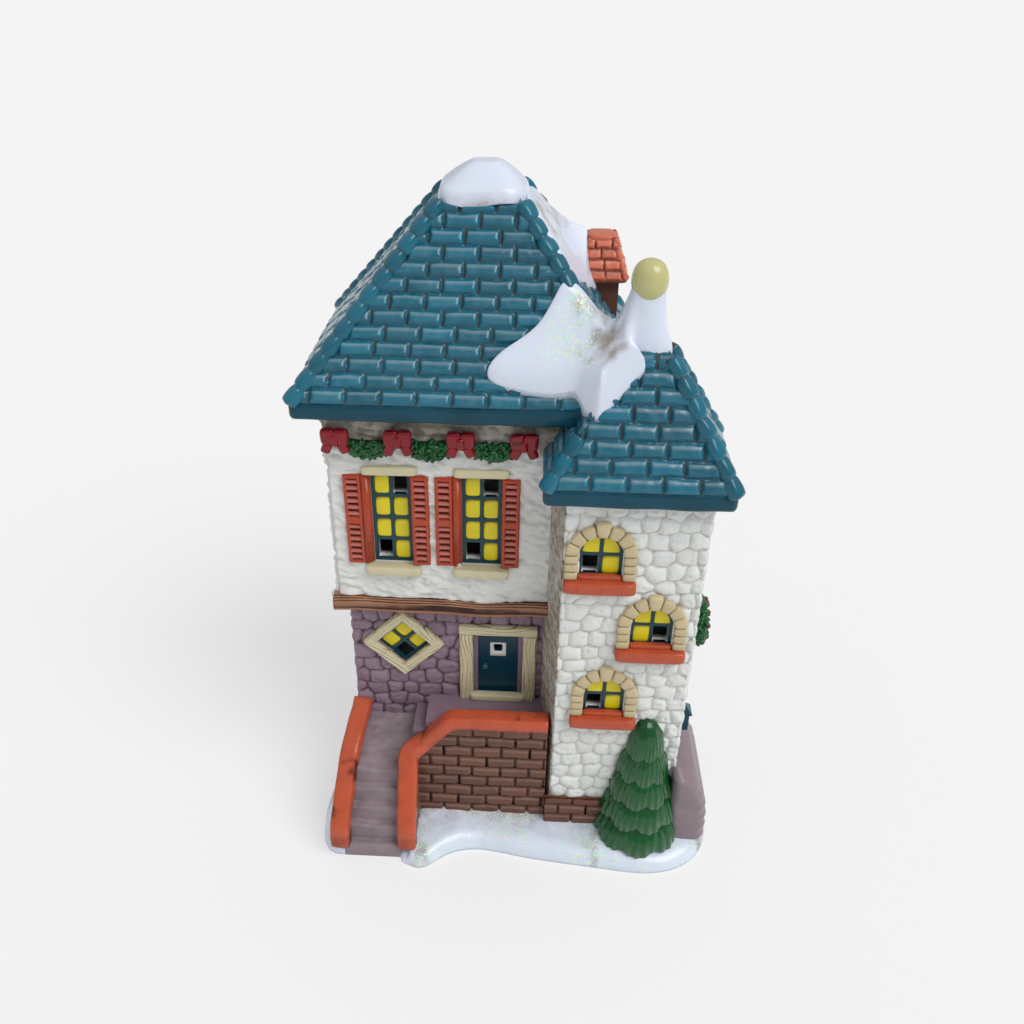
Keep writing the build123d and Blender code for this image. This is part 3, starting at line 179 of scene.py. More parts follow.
@dataclass
class Surface:
    """A closed mesh with two painted values per point.

    tone is 0 in a joint or hollow, whose joint colour stands for dark joints and grime and, in some
    hollows, for painted shade; 1 on the plain face; up to 2 where an edge has a painted highlight.
    tint is a shade per block, or the share of glitter on snow.
    """

    points: Array
    faces: list[Array]
    tone: Array
    tint: Array

    @classmethod
    def build(cls, points: Array, faces: list[Array], tone: Array | float, tint: Array | float) -> "Surface":
        """Flatten the arrays and turn every face outwards: the signed volume must be positive.

        Args:
            points: places in the last axis.
            faces: point numbers of quads and triangles.
            tone: share of the face colour, one or per point.
            tint: shade, one or per point.

        Returns:
            The surface.
        """
        flat = points.reshape(-1, 3)
        count = len(flat)
        values = [np.broadcast_to(np.asarray(a, float).ravel(), (count,)).copy() for a in (tone, tint)]
        volume = 0.0
        for face in faces:
            for side in range(1, face.shape[1] - 1):
                a, b, c = (flat[face[:, i]] for i in (0, side, side + 1))
                volume += np.einsum("ij,ij->", a, np.cross(b, c))
        turned = faces if volume > 0 else [face[:, ::-1] for face in faces]
        return cls(flat, turned, *values)

    @classmethod
    def tube(cls, rings: Array, tone: Array | float = 1.0, tint: Array | float = 0.5,
             ends: Array | None = None) -> "Surface":
        """Rings of points joined along a path, closed at both ends by a point.

        Args:
            rings: ring, place round it, coordinate.
            tone: share of the face colour, one or per point.
            tint: shade, one or per point.
            ends: the two end points, or None for the middles of the end rings.

        Returns:
            The surface.
        """
        rows, cols = rings.shape[:2]
        tips = rings[[0, -1]].mean(axis=1) if ends is None else ends
        values = []
        for value in (tone, tint):
            value = np.broadcast_to(value, (rows, cols))
            values.append(np.concatenate((value.ravel(), value[[0, -1]].mean(axis=1))))
        col = np.arange(cols)
        after = (col + 1) % cols
        tip = np.full(cols, rows * cols)
        last = (rows - 1) * cols
        fans = (np.stack((tip, after, col), -1), np.stack((tip + 1, last + col, last + after), -1))
        points = np.concatenate((rings.reshape(-1, 3), tips))
        return cls.build(points, [grid_quads(rows, cols, True), *fans], *values)

    @classmethod
    def ring(cls, rings: Array, tone: Array | float = 1.0, tint: Array | float = 0.5) -> "Surface":
        """Rings of points joined along a closed path.

        Args:
            rings: ring, place round it, coordinate.
            tone: share of the face colour, one or per point.
            tint: shade, one or per point.

        Returns:
            The surface.
        """
        rows, cols = rings.shape[:2]
        values = [np.broadcast_to(value, (rows, cols)) for value in (tone, tint)]
        return cls.build(rings, [grid_quads(rows, cols, True, True)], *values)

    @classmethod
    def sheets(cls, top: Array, bottom: Array, tone: Array | float = 1.0,
               tint: Array | float = 0.5) -> "Surface":
        """Two sheets of points with the same rows and columns, joined round their rims.

        Args:
            top: row, column, coordinate of the shown sheet.
            bottom: the same for the hidden sheet.
            tone: clean share of the shown sheet.
            tint: shade of the shown sheet.

        Returns:
            The surface.
        """
        rows, cols = top.shape[:2]
        loops = np.concatenate((top, bottom[:, ::-1]), axis=1)
        values = []
        for value in (tone, tint):
            value = np.broadcast_to(value, (rows, cols))
            values.append(np.concatenate((value, value[:, ::-1]), axis=1))
        col = np.arange(cols - 1)
        end = np.stack((col, 2 * cols - 1 - col, 2 * cols - 2 - col, col + 1), axis=-1)
        far = end[:, ::-1] + (rows - 1) * 2 * cols
        return cls.build(loops, [grid_quads(rows, 2 * cols, True), end, far], *values)

    @classmethod
    def slab(cls, top: Array, bottom: Array, mask: Array, tone: Array, tint: Array) -> "Surface":
        """Two sheets like sheets(), with only the cells of a mask, and walls round its edges.

        Args:
            top: row, column, coordinate of the shown sheet.
            bottom: the same for the hidden sheet.
            mask: which cells between the points are kept.
            tone: share of the face colour on the shown sheet.
            tint: shade of the shown sheet.

        Returns:
            The surface.
        """
        rows, cols = top.shape[:2]
        count = rows * cols
        number = np.arange(count).reshape(rows, cols)
        quads = grid_quads(rows, cols)[mask.ravel()]
        wide = np.pad(mask, 1)
        faces = [quads, quads[:, ::-1] + count]
        ends = {
            (0, -1): (number[:-1, :-1], number[1:, :-1]), (0, 1): (number[1:, 1:], number[:-1, 1:]),
            (-1, 0): (number[:-1, 1:], number[:-1, :-1]), (1, 0): (number[1:, :-1], number[1:, 1:]),
        }
        for (down, across), (first, second) in ends.items():
            beside = wide[1 + down: rows + down, 1 + across: cols + across]
            edge = mask & ~beside
            a, b = first[edge], second[edge]
            faces.append(np.stack((a, b, b + count, a + count), axis=-1))
        used, places = np.unique(np.concatenate([f.ravel() for f in faces]), return_inverse=True)
        cuts = np.cumsum([f.size for f in faces])[:-1]
        faces = [f.reshape(-1, 4) for f in np.split(places.ravel(), cuts)]
        points = np.concatenate((top.reshape(-1, 3), bottom.reshape(-1, 3)))[used]
        values = [np.concatenate((a.ravel(), a.ravel()))[used] for a in (tone, tint)]
        return cls.build(points, faces, *values)

    @classmethod
    def joined(cls, surfaces: list["Surface"]) -> "Surface":
        """Several surfaces as one.

        Args:
            surfaces: the surfaces.

        Returns:
            The joined surface.
        """
        starts = np.cumsum([0] + [len(s.points) for s in surfaces])
        faces = [face + start for s, start in zip(surfaces, starts) for face in s.faces]
        parts = ([getattr(s, name) for s in surfaces] for name in ("points", "tone", "tint"))
        points, tone, tint = (np.concatenate(part) for part in parts)
        return cls(points, faces, tone, tint)


def unit_blob(power: float, rows: int = 9, cols: int = 16) -> Surface:
    """Superellipsoid in the unit cube: powers of the sines and cosines of latitude and longitude,
    with their signs. A power of 1 is a ball and 0 a cube.

    Args:
        power: how round it is.
        rows: rings between the poles.
        cols: points round a ring.

    Returns:
        The surface.
    """
    lat = np.linspace(-pi / 2, pi / 2, rows + 2)[1:-1, None]
    lon = turns(cols)[None, :]

    def signed(value: Array) -> Array:
        """The power of a number's size, with its sign."""
        return np.sign(value) * np.abs(value) ** power

    flat = signed(np.cos(lat))
    rings = stacked(flat * signed(np.cos(lon)), flat * signed(np.sin(lon)), signed(np.sin(lat)))
    return Surface.tube(rings, ends=np.array((-UP, UP)))


def blobs(centres: Array, axes: Array, power: float, seed: int = 1) -> Surface:
    """Many superellipsoids at once: each unit point is multiplied by a blob's half axes.

    Args:
        centres: blob, coordinate.
        axes: blob, axis, coordinate of its half axis; one set serves all blobs.
        power: how round they are.
        seed: picks their shades.

    Returns:
        The joined surface.
    """
    unit = unit_blob(power)
    centres = np.atleast_2d(centres)
    count = len(centres)
    axes = np.broadcast_to(axes, (count, 3, 3))
    points = centres[:, None, :] + np.einsum("ka,naj->nkj", unit.points, axes)
    return repeat(unit, points, lattice_random(np.arange(count)[:, None], seed))


def repeat(unit: Surface, points: Array, tints: Array) -> Surface:
    """Copies of one surface with points of their own.

    Args:
        unit: the surface that gives the faces.
        points: copy, point, coordinate.
        tints: one shade per copy.

    Returns:
        The joined surface.
    """
    count, size = points.shape[:2]
    starts = (np.arange(count) * size)[:, None, None]
    faces = [(face[None] + starts).reshape(-1, face.shape[1]) for face in unit.faces]
    return Surface.build(points, faces, 1.0, np.repeat(tints, size))


def box_profile(width: float, height: float, corner: float, steps: int = 5) -> Array:
    """Closed outline of a rectangle with round corners, about its middle.

    Args:
        width: full width.
        height: full height.
        corner: corner radius.
        steps: points per corner.

    Returns:
        Point, coordinate.
    """
    angle = np.linspace(0, pi / 2, steps)[None, :] + np.arange(4)[:, None] * pi / 2
    mid_x = np.array((1, -1, -1, 1))[:, None] * (width / 2 - corner)
    mid_y = np.array((1, 1, -1, -1))[:, None] * (height / 2 - corner)
    return stacked(mid_x + corner * np.cos(angle), mid_y + corner * np.sin(angle)).reshape(-1, 2)


def round_path(corners: Array, radius: float, step: float) -> Array:
    """A line through corners, rounded by a quadratic curve at each, in steps of one length.

    Args:
        corners: corner, coordinate.
        radius: how far from a corner its curve starts.
        step: distance between points.

    Returns:
        Point, coordinate.
    """
    along = np.diff(corners, axis=0)
    along /= np.linalg.norm(along, axis=1, keepdims=True)
    t = np.linspace(0, 1, 9)[:, None]
    legs = [corners[:1]]
    for corner, before, after in zip(corners[1:-1], along[:-1], along[1:]):
        start, end = corner - before * radius, corner + after * radius
        legs.append((1 - t) ** 2 * start + 2 * t * (1 - t) * corner + t**2 * end)
    legs.append(corners[-1:])
    line = np.concatenate(legs)
    run = np.concatenate(([0], np.cumsum(np.linalg.norm(np.diff(line, axis=0), axis=1))))
    places = np.linspace(0, run[-1], max(int(run[-1] / step), 2))
    return np.stack([np.interp(places, run, line[:, axis]) for axis in range(3)], axis=-1)


def closed_curve(corners: Array, count: int) -> Array:
    """A smooth closed line through points: cubics whose slope at each point is half the step
    between its neighbours.

    Args:
        corners: point, coordinate.
        count: number of points on the line.

    Returns:
        Point, coordinate.
    """
    place = np.linspace(0, len(corners), count, endpoint=False)
    number = place.astype(int)
    t = (place - number)[:, None]
    a, b, c, d = (corners[(number + step) % len(corners)] for step in (-1, 0, 1, 2))
    square, cube = a - 2.5 * b + 2 * c - d / 2, 1.5 * b - a / 2 - 1.5 * c + d / 2
    return b + (c - a) * t / 2 + square * t**2 + cube * t**3


def blend_max(one: Array, two: Array, width: float) -> Array:
    """A soft maximum: half the sum of both heights and the root of difference and width, squared."""
    return (one + two + np.sqrt((one - two) ** 2 + width**2)) / 2


def sweep(path: Array, profile: Array) -> Array:
    """Rings of a profile along a path. The profile's first axis stays level and square to the
    path; where the path stands upright it keeps its last level direction.

    Args:
        path: point, coordinate.
        profile: point, coordinate.

    Returns:
        Ring, place round it, coordinate.
    """
    ahead = np.gradient(path, axis=0)
    ahead /= np.linalg.norm(ahead, axis=1, keepdims=True)
    level = np.linalg.norm(ahead[:, :2], axis=1)
    last = np.maximum.accumulate(np.where(level > 0.3, np.arange(len(path)), 0))
    side = np.cross(ahead[last] * (1, 1, 0), UP)
    side /= np.linalg.norm(side, axis=1, keepdims=True)
    over = np.cross(side, ahead)
    return path[:, None] + profile[None, :, :1] * side[:, None] + profile[None, :, 1:] * over[:, None]


@dataclass(frozen=True)
class Wall:
    """An upright plane: u runs along it, v runs up and the normal points out."""

    origin: Array
    along: Array
    normal: Array

    @classmethod
    def facing(cls, x: float, y: float, z: float, normal: Array) -> "Wall":
        """A wall from its lower left corner, as seen from outside."""
        return cls(np.array((x, y, z)), np.cross(UP, normal), normal)

    def at(self, u: Array | float, v: Array | float, out: Array | float = 0.0) -> Array:
        """Points on the wall.

        Args:
            u: places along it.
            v: heights up it.
            out: distances in front of it.

        Returns:
            Points in the last axis.
        """
        u, v, out = (part[..., None] for part in np.broadcast_arrays(u, v, out))
        return self.origin + u * self.along + v * UP + out * self.normal

    def axes(self, along: float, up: float, out: float, turn: float = 0.0) -> Array:
        """Half axes of a blob on the wall.

        Args:
            along: half size along the wall.
            up: half size up the wall.
            out: half size out of the wall.
            turn: turn in the wall's plane, in radians.

        Returns:
            Axis, coordinate.
        """
        first = cos(turn) * self.along + sin(turn) * UP
        second = cos(turn) * UP - sin(turn) * self.along
        return np.stack((first * along, self.normal * out, second * up))

    def blob(self, place: tuple[float, float, float], axes: Array, power: float) -> Surface:
        """One superellipsoid at a place along, up and out of the wall."""
        return blobs(self.at(*place)[None], axes, power)


@dataclass(frozen=True)
class Stones:
    """Rounded field stones in rough courses."""

    width: float
    height: float
    depth: float
    joint: float = 0.13
    jitter: tuple[float, float] = (0.7, 0.4)
    dimple: float = 0.45
    floor: float = 0.15
    seed: int = 3

    def __call__(self, u: Array, v: Array) -> Relief:
        """Distances to jittered stone middles, measured with a fourth-power norm on warped places;
        the gap between the nearest and second nearest one rises from the joint to a domed face.

        Args:
            u: places along the wall.
            v: heights up the wall.

        Returns:
            Height, tone and tint.
        """
        warp = plane_noise(u, v, self.width * 0.8, self.seed + 8)
        sway = plane_noise(u, v, self.width * 0.7, self.seed + 9)
        u, v = u + 0.1 * self.width * warp, v + 0.09 * self.height * sway
        row = np.floor(v / self.height)
        best = np.full(np.broadcast(u, v).shape, 9.0)
        second = best.copy()
        tint = np.zeros_like(best)
        for down in (-1, 0, 1):
            line = row + down
            shift = 0.5 * (line % 2)
            col = np.floor(u / self.width - shift)
            for across in (-1, 0, 1):
                cell = stacked(col + across, line)
                move = [self.jitter[k] * (lattice_random(cell, self.seed + k) - 0.5) for k in (0, 1)]
                away_u = u / self.width - shift - (cell[..., 0] + 0.5 + move[0])
                away_v = v / self.height - (cell[..., 1] + 0.5 + move[1])
                away = (away_u**4 + away_v**4) ** 0.25
                nearer = away < best
                second = np.where(nearer, best, np.minimum(second, away))
                tint = np.where(nearer, lattice_random(cell, self.seed + 2), tint)
                best = np.minimum(best, away)
        gap = second - best
        face = 0.65 * smooth(gap, 0.0, self.joint * 2.2) + 0.35 * smooth(gap, 0.0, 0.8)
        fine = plane_noise(u, v, self.width / 9, self.seed + 6)
        rough = plane_noise(u, v, self.width / 4, self.seed + 5) + 0.4 * fine
        lift = 0.95 + 0.25 * (tint - 0.5) + 0.1 * rough
        # Dimples in the stone faces; their darkening in the tone below is painted shade.
        hollow = smooth(rough, 0.1, 0.8) * smooth(gap, self.joint * 1.6, self.joint * 3.2)
        height = self.depth * np.clip(face * (lift - self.dimple * hollow), 0, 1.2)
        # A band a little in from each outline gets a painted highlight.
        edge = smooth(gap, self.joint, self.joint * 1.8)
        edge = edge * (1 - smooth(gap, self.joint * 2.2, self.joint * 3.6))
        clean = self.floor + (1 - self.floor) * smooth(gap, 0.0, 1.4 * self.joint)
        return height, clean - 0.35 * hollow + 0.6 * edge, tint


@dataclass(frozen=True)
class Cornered:
    """Another pattern on a wall whose upright ends are round."""

    pattern: Pattern
    length: float
    radius: float = 0.0008

    def __call__(self, u: Array, v: Array) -> Relief:
        """The pattern's height less a quarter circle's drop towards both ends.

        Args:
            u: places along the wall.
            v: heights up the wall.

        Returns:
            Height, tone and tint.
        """
        height, tone, tint = self.pattern(u, v)
        rise = round_edge(np.minimum(u, self.length - u), self.radius)
        return height - 0.6 * self.radius * (1 - rise), tone, tint


@dataclass(frozen=True)
class Bricks:
    """Running bond, as bricks or as roof tiles that tilt outwards towards their lower edge."""

    width: float
    height: float
    depth: float
    joint: float
    edge: float
    tilt: float = 0.0
    skew: float = 0.06
    # Share of the face colour kept in the course joints, whose darkening stands for dust and the painted
    # shadow under each course.
    dust_and_shade: float = 0.0
    seed: int = 5

    def __call__(self, u: Array, v: Array) -> Relief:
        """The distance to the nearest joint, less a wobble, rises over a round edge to the face.

        Args:
            u: places along the courses.
            v: places across the courses.

        Returns:
            Height, tone and tint.
        """
        v = v + 0.0002 * plane_noise(u, v, self.width / 2, self.seed + 9)
        row = np.floor(v / self.height)
        wobble = self.skew * (lattice_random(stacked(row, row), self.seed) - 0.5)
        place = u / self.width + 0.5 * (row % 2) + wobble
        col = np.floor(place)
        a, b = place - col, v / self.height - row
        tint = lattice_random(stacked(col, row), self.seed + 1)
        side = np.minimum(a, 1 - a) * self.width
        end = np.minimum(b, 1 - b) * self.height
        wave = 0.00006 * plane_noise(u, v, self.height / 3, self.seed + 2) - self.joint / 2
        away = np.minimum(side, end) + wave
        rise = round_edge(away, self.edge)
        lean = 1 - self.tilt * b + 0.22 * (tint - 0.5)
        rough = 0.07 * plane_noise(u, v, self.height / 2.5, self.seed + 3)
        height = self.depth * rise * np.clip(lean + rough, 0.1, 1.3)
        # A painted highlight along the edges, mostly along the upper edge, which faces the light from above.
        edge = smooth(away, 0.2 * self.edge, 0.6 * self.edge)
        edge = edge * (1 - smooth(away, 0.8 * self.edge, 1.9 * self.edge)) * (0.2 + 0.8 * smooth(b, 0.5, 0.8))
        # Upright joints take the full joint colour. Course joints keep a share of the face colour set by a
        # field of the class: dust and painted shadow under each course.
        clean = [smooth(place + wave, -0.3 * self.edge, 0.4 * self.edge) for place in (side, end)]
        return height, clean[0] * (self.dust_and_shade + (1 - self.dust_and_shade) * clean[1]) + edge, tint


@dataclass(frozen=True)
class Plaster:
    """Trowelled plaster that flares out over the beam below it, with painted shade higher up."""

    depth: float
    flare: float = 0.0
    flare_height: float = 0.006
    # Height where the painted shade starts.
    shade_from: float = 1.0
    scallop: float = 0.0
    pitch: float = 0.01
    start: float = 0.0
    pits: float = 0.0
    seed: int = 11

    def __call__(self, u: Array, v: Array) -> Relief:
        """Three noises of falling size and a curved flare at the foot. The painted shade starts at a line
        that hangs in half sines, and the hollows of the trowel marks get painted shade too.

        Args:
            u: places along the wall.
            v: heights up the wall.

        Returns:
            Height, tone and tint.
        """
        rough = (
            0.45 * plane_noise(u, 2.2 * v, 0.0034, self.seed)
            + 0.4 * plane_noise(u + v, 2 * v, 0.0019, self.seed + 1)
            + 0.15 * plane_noise(u, v, 0.0009, self.seed + 2)
        )
        foot = np.clip(1 - v / self.flare_height, 0, 1) ** 2
        height = self.depth * (0.7 + 0.8 * rough) + self.flare * foot
        line = self.shade_from - self.scallop * np.abs(np.sin(pi * (u - self.start) / self.pitch))
        # Painted shade above a line that hangs in half sines: under the eave behind the garland, or over the
        # whole wall when the line lies below its foot.
        painted_shade = smooth(v - line + 0.0006 * rough, -0.0004, 0.0006)
        clean = 1 - self.pits * smooth(plane_noise(u, v, 0.0007, self.seed + 4), 0.3, 0.7)
        # Tone: darker in the painted shade and, as painted shade too, in the hollows of the trowel marks; the
        # pits are dark spots.
        tone = np.clip(clean * (1 - 0.62 * painted_shade) - 0.45 * smooth(-rough, 0.1, 0.55), 0, 1)
        return height, tone, 0.5 + 0.5 * plane_noise(u, v, 0.009, self.seed + 3)


@dataclass(frozen=True)
class Timber:
    """A board with wavy grain along it."""

    depth: float
    width: float
    edge: float
    grain: float = 0.001
    seed: int = 17

    def __call__(self, u: Array, v: Array) -> Relief:
        """Sine lines across the board, bent by slow waves, falling off at the board's edges.

        Args:
            u: places along the board.
            v: places across the board.

        Returns:
            Height, tone and tint.
        """
        bent = v + 0.0006 * np.sin(u / 0.0045 + self.seed) + 0.0004 * plane_noise(u, v, 0.006, self.seed)
        slow = plane_noise(u / 3, bent, 0.0024, self.seed + 1)
        streak = np.sin(2 * pi * bent / self.grain + 4 * slow)
        away = np.minimum(v, self.width - v)
        rise = round_edge(away, self.edge)
        height = self.depth * (0.3 + 0.7 * rise) + 0.0001 * streak
        tone = 0.3 + 0.7 * smooth(streak, -1.0, -0.6) - 0.2 * smooth(slow, 0.2, 0.8)
        return height, tone, 0.5 + 0.5 * slow


@dataclass(frozen=True)
class Louvres:
    """A shutter: a rim, a middle rail and two panels of slats."""

    width: float
    height: float
    depth: float
    rim: float = 0.0011
    edge: float = 0.0006
    slats: int = 6

    def __call__(self, u: Array, v: Array) -> Relief:
        """Inside each panel a half sine per slat; rim and rail are flat with round edges.

        Args:
            u: places across the shutter.
            v: heights up the shutter.

        Returns:
            Height, tone and tint.
        """
        panel = (self.height - 4 * self.rim) / 2
        foot = np.where(v < self.height / 2, self.rim, 3 * self.rim + panel)
        inside = np.minimum(np.minimum(u, self.width - u) - self.rim, np.minimum(v - foot, foot + panel - v))
        slat = np.abs(np.sin(pi * self.slats * (v - foot) / panel))
        sunk = smooth(inside, -0.00025, 0.0002)
        away = np.minimum(np.minimum(u, self.width - u), np.minimum(v, self.height - v))
        edge = round_edge(away, self.edge)
        height = self.depth * (0.35 + 0.65 * edge) * (1 - sunk * (0.72 - 0.6 * slat**0.6))
        # Tone: painted shade in the grooves between the slats and, above 1, a painted highlight on their
        # crests.
        return height, 1 - sunk * (1 - 1.7 * smooth(slat, 0.3, 0.9)), np.full_like(u, 0.5)


class Effect(Enum):
    """Node groups that materials share."""

    GLAZE_WEAR_AND_LIGHT = "glaze_wear_and_painted_light"
    GLITTER = "snow_glitter"


class NodeBuilder:
    """Adds and links shader nodes in one tree."""

    def __init__(self, tree: bpy.types.NodeTree) -> None:
        """Take the tree that gets the nodes."""
        self.tree = tree

    def feed(self, node: bpy.types.Node, values: dict[str | int, object]) -> None:
        """Give a node its inputs.

        Args:
            node: the node.
            values: input to value, or to the socket that feeds it.
        """
        for key, value in values.items():
            if isinstance(value, bpy.types.NodeSocket):
                self.tree.links.new(value, node.inputs[key])
            else:
                node.inputs[key].default_value = value

    def add(self, kind: str, values: dict[str | int, object] | None = None,
            **settings: object) -> bpy.types.Node:
        """One node, with its settings and inputs.

        Args:
            kind: node type without its prefix.
            values: input to value, or to the socket that feeds it.
            settings: properties of the node.

        Returns:
            The node.
        """
        node = self.tree.nodes.new("ShaderNode" + kind)
        for name, value in settings.items():
            setattr(node, name, value)
        self.feed(node, values or {})
        return node

    def maths(self, operation: str, *values: object) -> bpy.types.NodeSocket:
        """Result of an operation on numbers or sockets."""
        return self.add("Math", dict(enumerate(values)), operation=operation).outputs[0]

    def mix(self, factor: object, first: object, second: object) -> bpy.types.NodeSocket:
        """A blend of two colours or sockets by the share of the second."""
        return self.add("Mix", {0: factor, 6: first, 7: second}, data_type="RGBA").outputs[2]

    def noise(self, place: object, scale: object, detail: float, roughness: float) -> bpy.types.NodeSocket:
        """A noise texture's value."""
        values = {"Vector": place, "Scale": scale, "Detail": detail, "Roughness": roughness}
        return self.add("TexNoise", values).outputs[0]

    def step(self, value: object, low: float, high: float, kind: str = "SMOOTHSTEP") -> bpy.types.NodeSocket:
        """A value's share of the way from low to high, kept within 0 and 1."""
        return self.add("MapRange", {0: value, 1: low, 2: high}, interpolation_type=kind).outputs[0]


class Group(NodeBuilder):
    """A node group that gives a colour, a roughness and a height for the bumps."""

    def __init__(self, effect: Effect, inputs: dict[str, object]) -> None:
        """Make the group with its sockets.

        Args:
            effect: which group it is.
            inputs: name to default value.
        """
        super().__init__(bpy.data.node_groups.new(effect.value, "ShaderNodeTree"))
        for name, value in inputs.items():
            kind = "NodeSocketColor" if isinstance(value, tuple) else "NodeSocketFloat"
            self.tree.interface.new_socket(name, in_out="INPUT", socket_type=kind).default_value = value
        for name, kind in (("Color", "Color"), ("Roughness", "Float"), ("Height", "Float")):
            self.tree.interface.new_socket(name, in_out="OUTPUT", socket_type=f"NodeSocket{kind}")
        self.given = self.tree.nodes.new("NodeGroupInput").outputs
        self.place = self.add("TexCoord").outputs["Object"]

    def result(self, colour: object, rough: object, height: object) -> bpy.types.NodeTree:
        """Link the results.

        Args:
            colour: socket of the colour.
            rough: socket of the roughness.
            height: socket of the height.

        Returns:
            The group's tree.
        """
        results = {"Color": colour, "Roughness": rough, "Height": height}
        self.feed(self.tree.nodes.new("NodeGroupOutput"), results)
        return self.tree


@cache
def glaze_wear_and_light_group() -> bpy.types.NodeTree:
    """Glaze with the joint colour where tone is low, which stands for dark joints and grime and, in hollows,
    for painted shade; a painted highlight where tone is above 1; a shade per block and mottling.

    Returns:
        The node group, made once.
    """
    grey, highlight_colour = (0.5, 0.5, 0.5, 1.0), (0.9, 0.9, 0.88, 1.0)
    build = Group(Effect.GLAZE_WEAR_AND_LIGHT, {
        "Colour": grey, "Joint": grey, "Tone": 1.0, "Tint": 0.5, "Shade": 0.1, "Mottle": 0.1,
        "Edge": 0.5, "Scale": 300.0, "Roughness": 0.3,
    })
    given, maths = build.given, build.maths
    cloud = build.noise(build.place, given["Scale"], 4.0, 0.6)
    centred = maths("SUBTRACT", cloud, 0.5)
    by_block = maths("MULTIPLY", maths("SUBTRACT", given["Tint"], 0.5), given["Shade"])
    factor = maths("ADD", 1.0, maths("ADD", by_block, maths("MULTIPLY", centred, given["Mottle"])))
    shaded = build.add("VectorMath", {0: given["Colour"], 3: factor}, operation="SCALE").outputs[0]
    # Low tone takes the joint colour: dark joints and grime, and painted shade in hollows. Tone above 1 mixes
    # in a pale colour as a painted highlight.
    worn = maths("ADD", given["Tone"], maths("MULTIPLY", centred, 0.5))
    clean = build.step(worn, 0.1, 0.75)
    edge = maths("MULTIPLY", build.step(worn, 1.1, 2.0, "LINEAR"), given["Edge"])
    colour = build.mix(edge, build.mix(clean, given["Joint"], shaded), build.mix(0.45, shaded, highlight_colour))
    dull = maths("MULTIPLY", maths("SUBTRACT", 1.0, clean), 0.3)
    rough = maths("ADD", maths("ADD", given["Roughness"], dull), maths("MULTIPLY", centred, 0.12))
    return build.result(colour, rough, cloud)


@cache
def glitter_group() -> bpy.types.NodeTree:
    """Snow with grime and painted shade where tone is low, and small coloured flakes.

    Returns:
        The node group, made once.
    """
    build = Group(Effect.GLITTER, {
        "Snow": (0.8, 0.8, 0.8, 1.0), "GrimeAndShade": (0.3, 0.25, 0.2, 1.0), "Tone": 1.0, "Flakes": 0.0,
        "Size": 2000.0,
    })
    given, maths = build.given, build.maths
    cloud = build.noise(build.place, 420.0, 6.0, 0.7)
    worn = maths("ADD", given["Tone"], maths("MULTIPLY", maths("SUBTRACT", cloud, 0.5), 0.9))
    body = build.mix(build.step(worn, 0.05, 0.95), given["GrimeAndShade"], given["Snow"])
    cells = build.add("TexVoronoi", {"Vector": build.place, "Scale": given["Size"]}).outputs
    split = build.add("SeparateColor", {0: cells["Color"]}).outputs
    patch = build.noise(build.place, 130.0, 2.0, 0.5)
    chance = maths("MULTIPLY", given["Flakes"], maths("MULTIPLY", patch, 0.9))
    small = maths("LESS_THAN", cells["Distance"], 0.42)
    flake = maths("MULTIPLY", maths("LESS_THAN", split[0], chance), small)
    hue = maths("ADD", 0.12, maths("MULTIPLY", split[1], 0.42))
    bright = build.add("CombineColor", {0: hue, 1: 0.55, 2: 1.0}, mode="HSV").outputs[0]
    rough = maths("SUBTRACT", 0.34, maths("MULTIPLY", flake, 0.2))
    return build.result(build.mix(flake, body, bright), rough, cloud)


@dataclass(frozen=True)
class Glaze:
    """A painted and glazed ceramic finish."""

    slot: str
    colour: Colour
    joint: Colour
    roughness: float = 0.3
    coat: float = 0.35
    shade: float = 0.3
    mottle: float = 0.35
    # Strength of the painted highlight where tone rises above 1.
    edge: float = 0.5
    scale: float = 260.0
    bump: float = 0.12
    variant: str = ""

    def effect(self) -> tuple[bpy.types.NodeTree, dict[str, object], str]:
        """What lies behind the finish.

        Returns:
            The node group, its settings and the socket that takes the mesh's tint.
        """
        values = {"Colour": self.colour, "Joint": self.joint, "Shade": self.shade, "Mottle": self.mottle,
                  "Edge": self.edge, "Scale": self.scale, "Roughness": self.roughness}
        return glaze_wear_and_light_group(), values, "Tint"

    def gloss(self) -> dict[str, object]:
        """Settings of the shader."""
        return {"Coat Weight": self.coat, "Coat Roughness": 0.12, "Specular IOR Level": 0.3}

    @cache
    def material(self, relief: bool) -> bpy.types.Material:
        """The finish as nodes, made once per form.

        Args:
            relief: read tone and tint from the mesh, or take a plain clean face.

        Returns:
            The material.
        """
        made = bpy.data.materials.new(f"{self.slot}{self.variant}_{'relief' if relief else 'plain'}")
        made.use_nodes = True
        build = NodeBuilder(made.node_tree)
        tree, values, tinted = self.effect()
        if relief:
            for key, name in (("Tone", "tone"), (tinted, "tint")):
                values[key] = build.add("Attribute", attribute_name=name).outputs["Fac"]
        group = build.add("Group", values, node_tree=tree).outputs
        bump = build.add("Bump", {"Strength": self.bump, "Distance": 0.0003, "Height": group["Height"]})
        build.feed(made.node_tree.nodes["Principled BSDF"], {
            "Base Color": group["Color"], "Roughness": group["Roughness"], "Normal": bump.outputs[0],
            **self.gloss(),
        })
        return made


@dataclass(frozen=True)
class Snow(Glaze):
    """White glaze with glitter where tint says so, and grime and painted shade where tone is low."""

    def effect(self) -> tuple[bpy.types.NodeTree, dict[str, object], str]:
        """The node group, its settings and the socket that takes the mesh's tint."""
        return glitter_group(), {"Snow": self.colour, "GrimeAndShade": self.joint}, "Flakes"

    def gloss(self) -> dict[str, object]:
        """Settings of the shader."""
        depth = (0.002, 0.002, 0.002)
        return {"Coat Weight": self.coat, "Subsurface Weight": 0.08, "Subsurface Radius": depth}


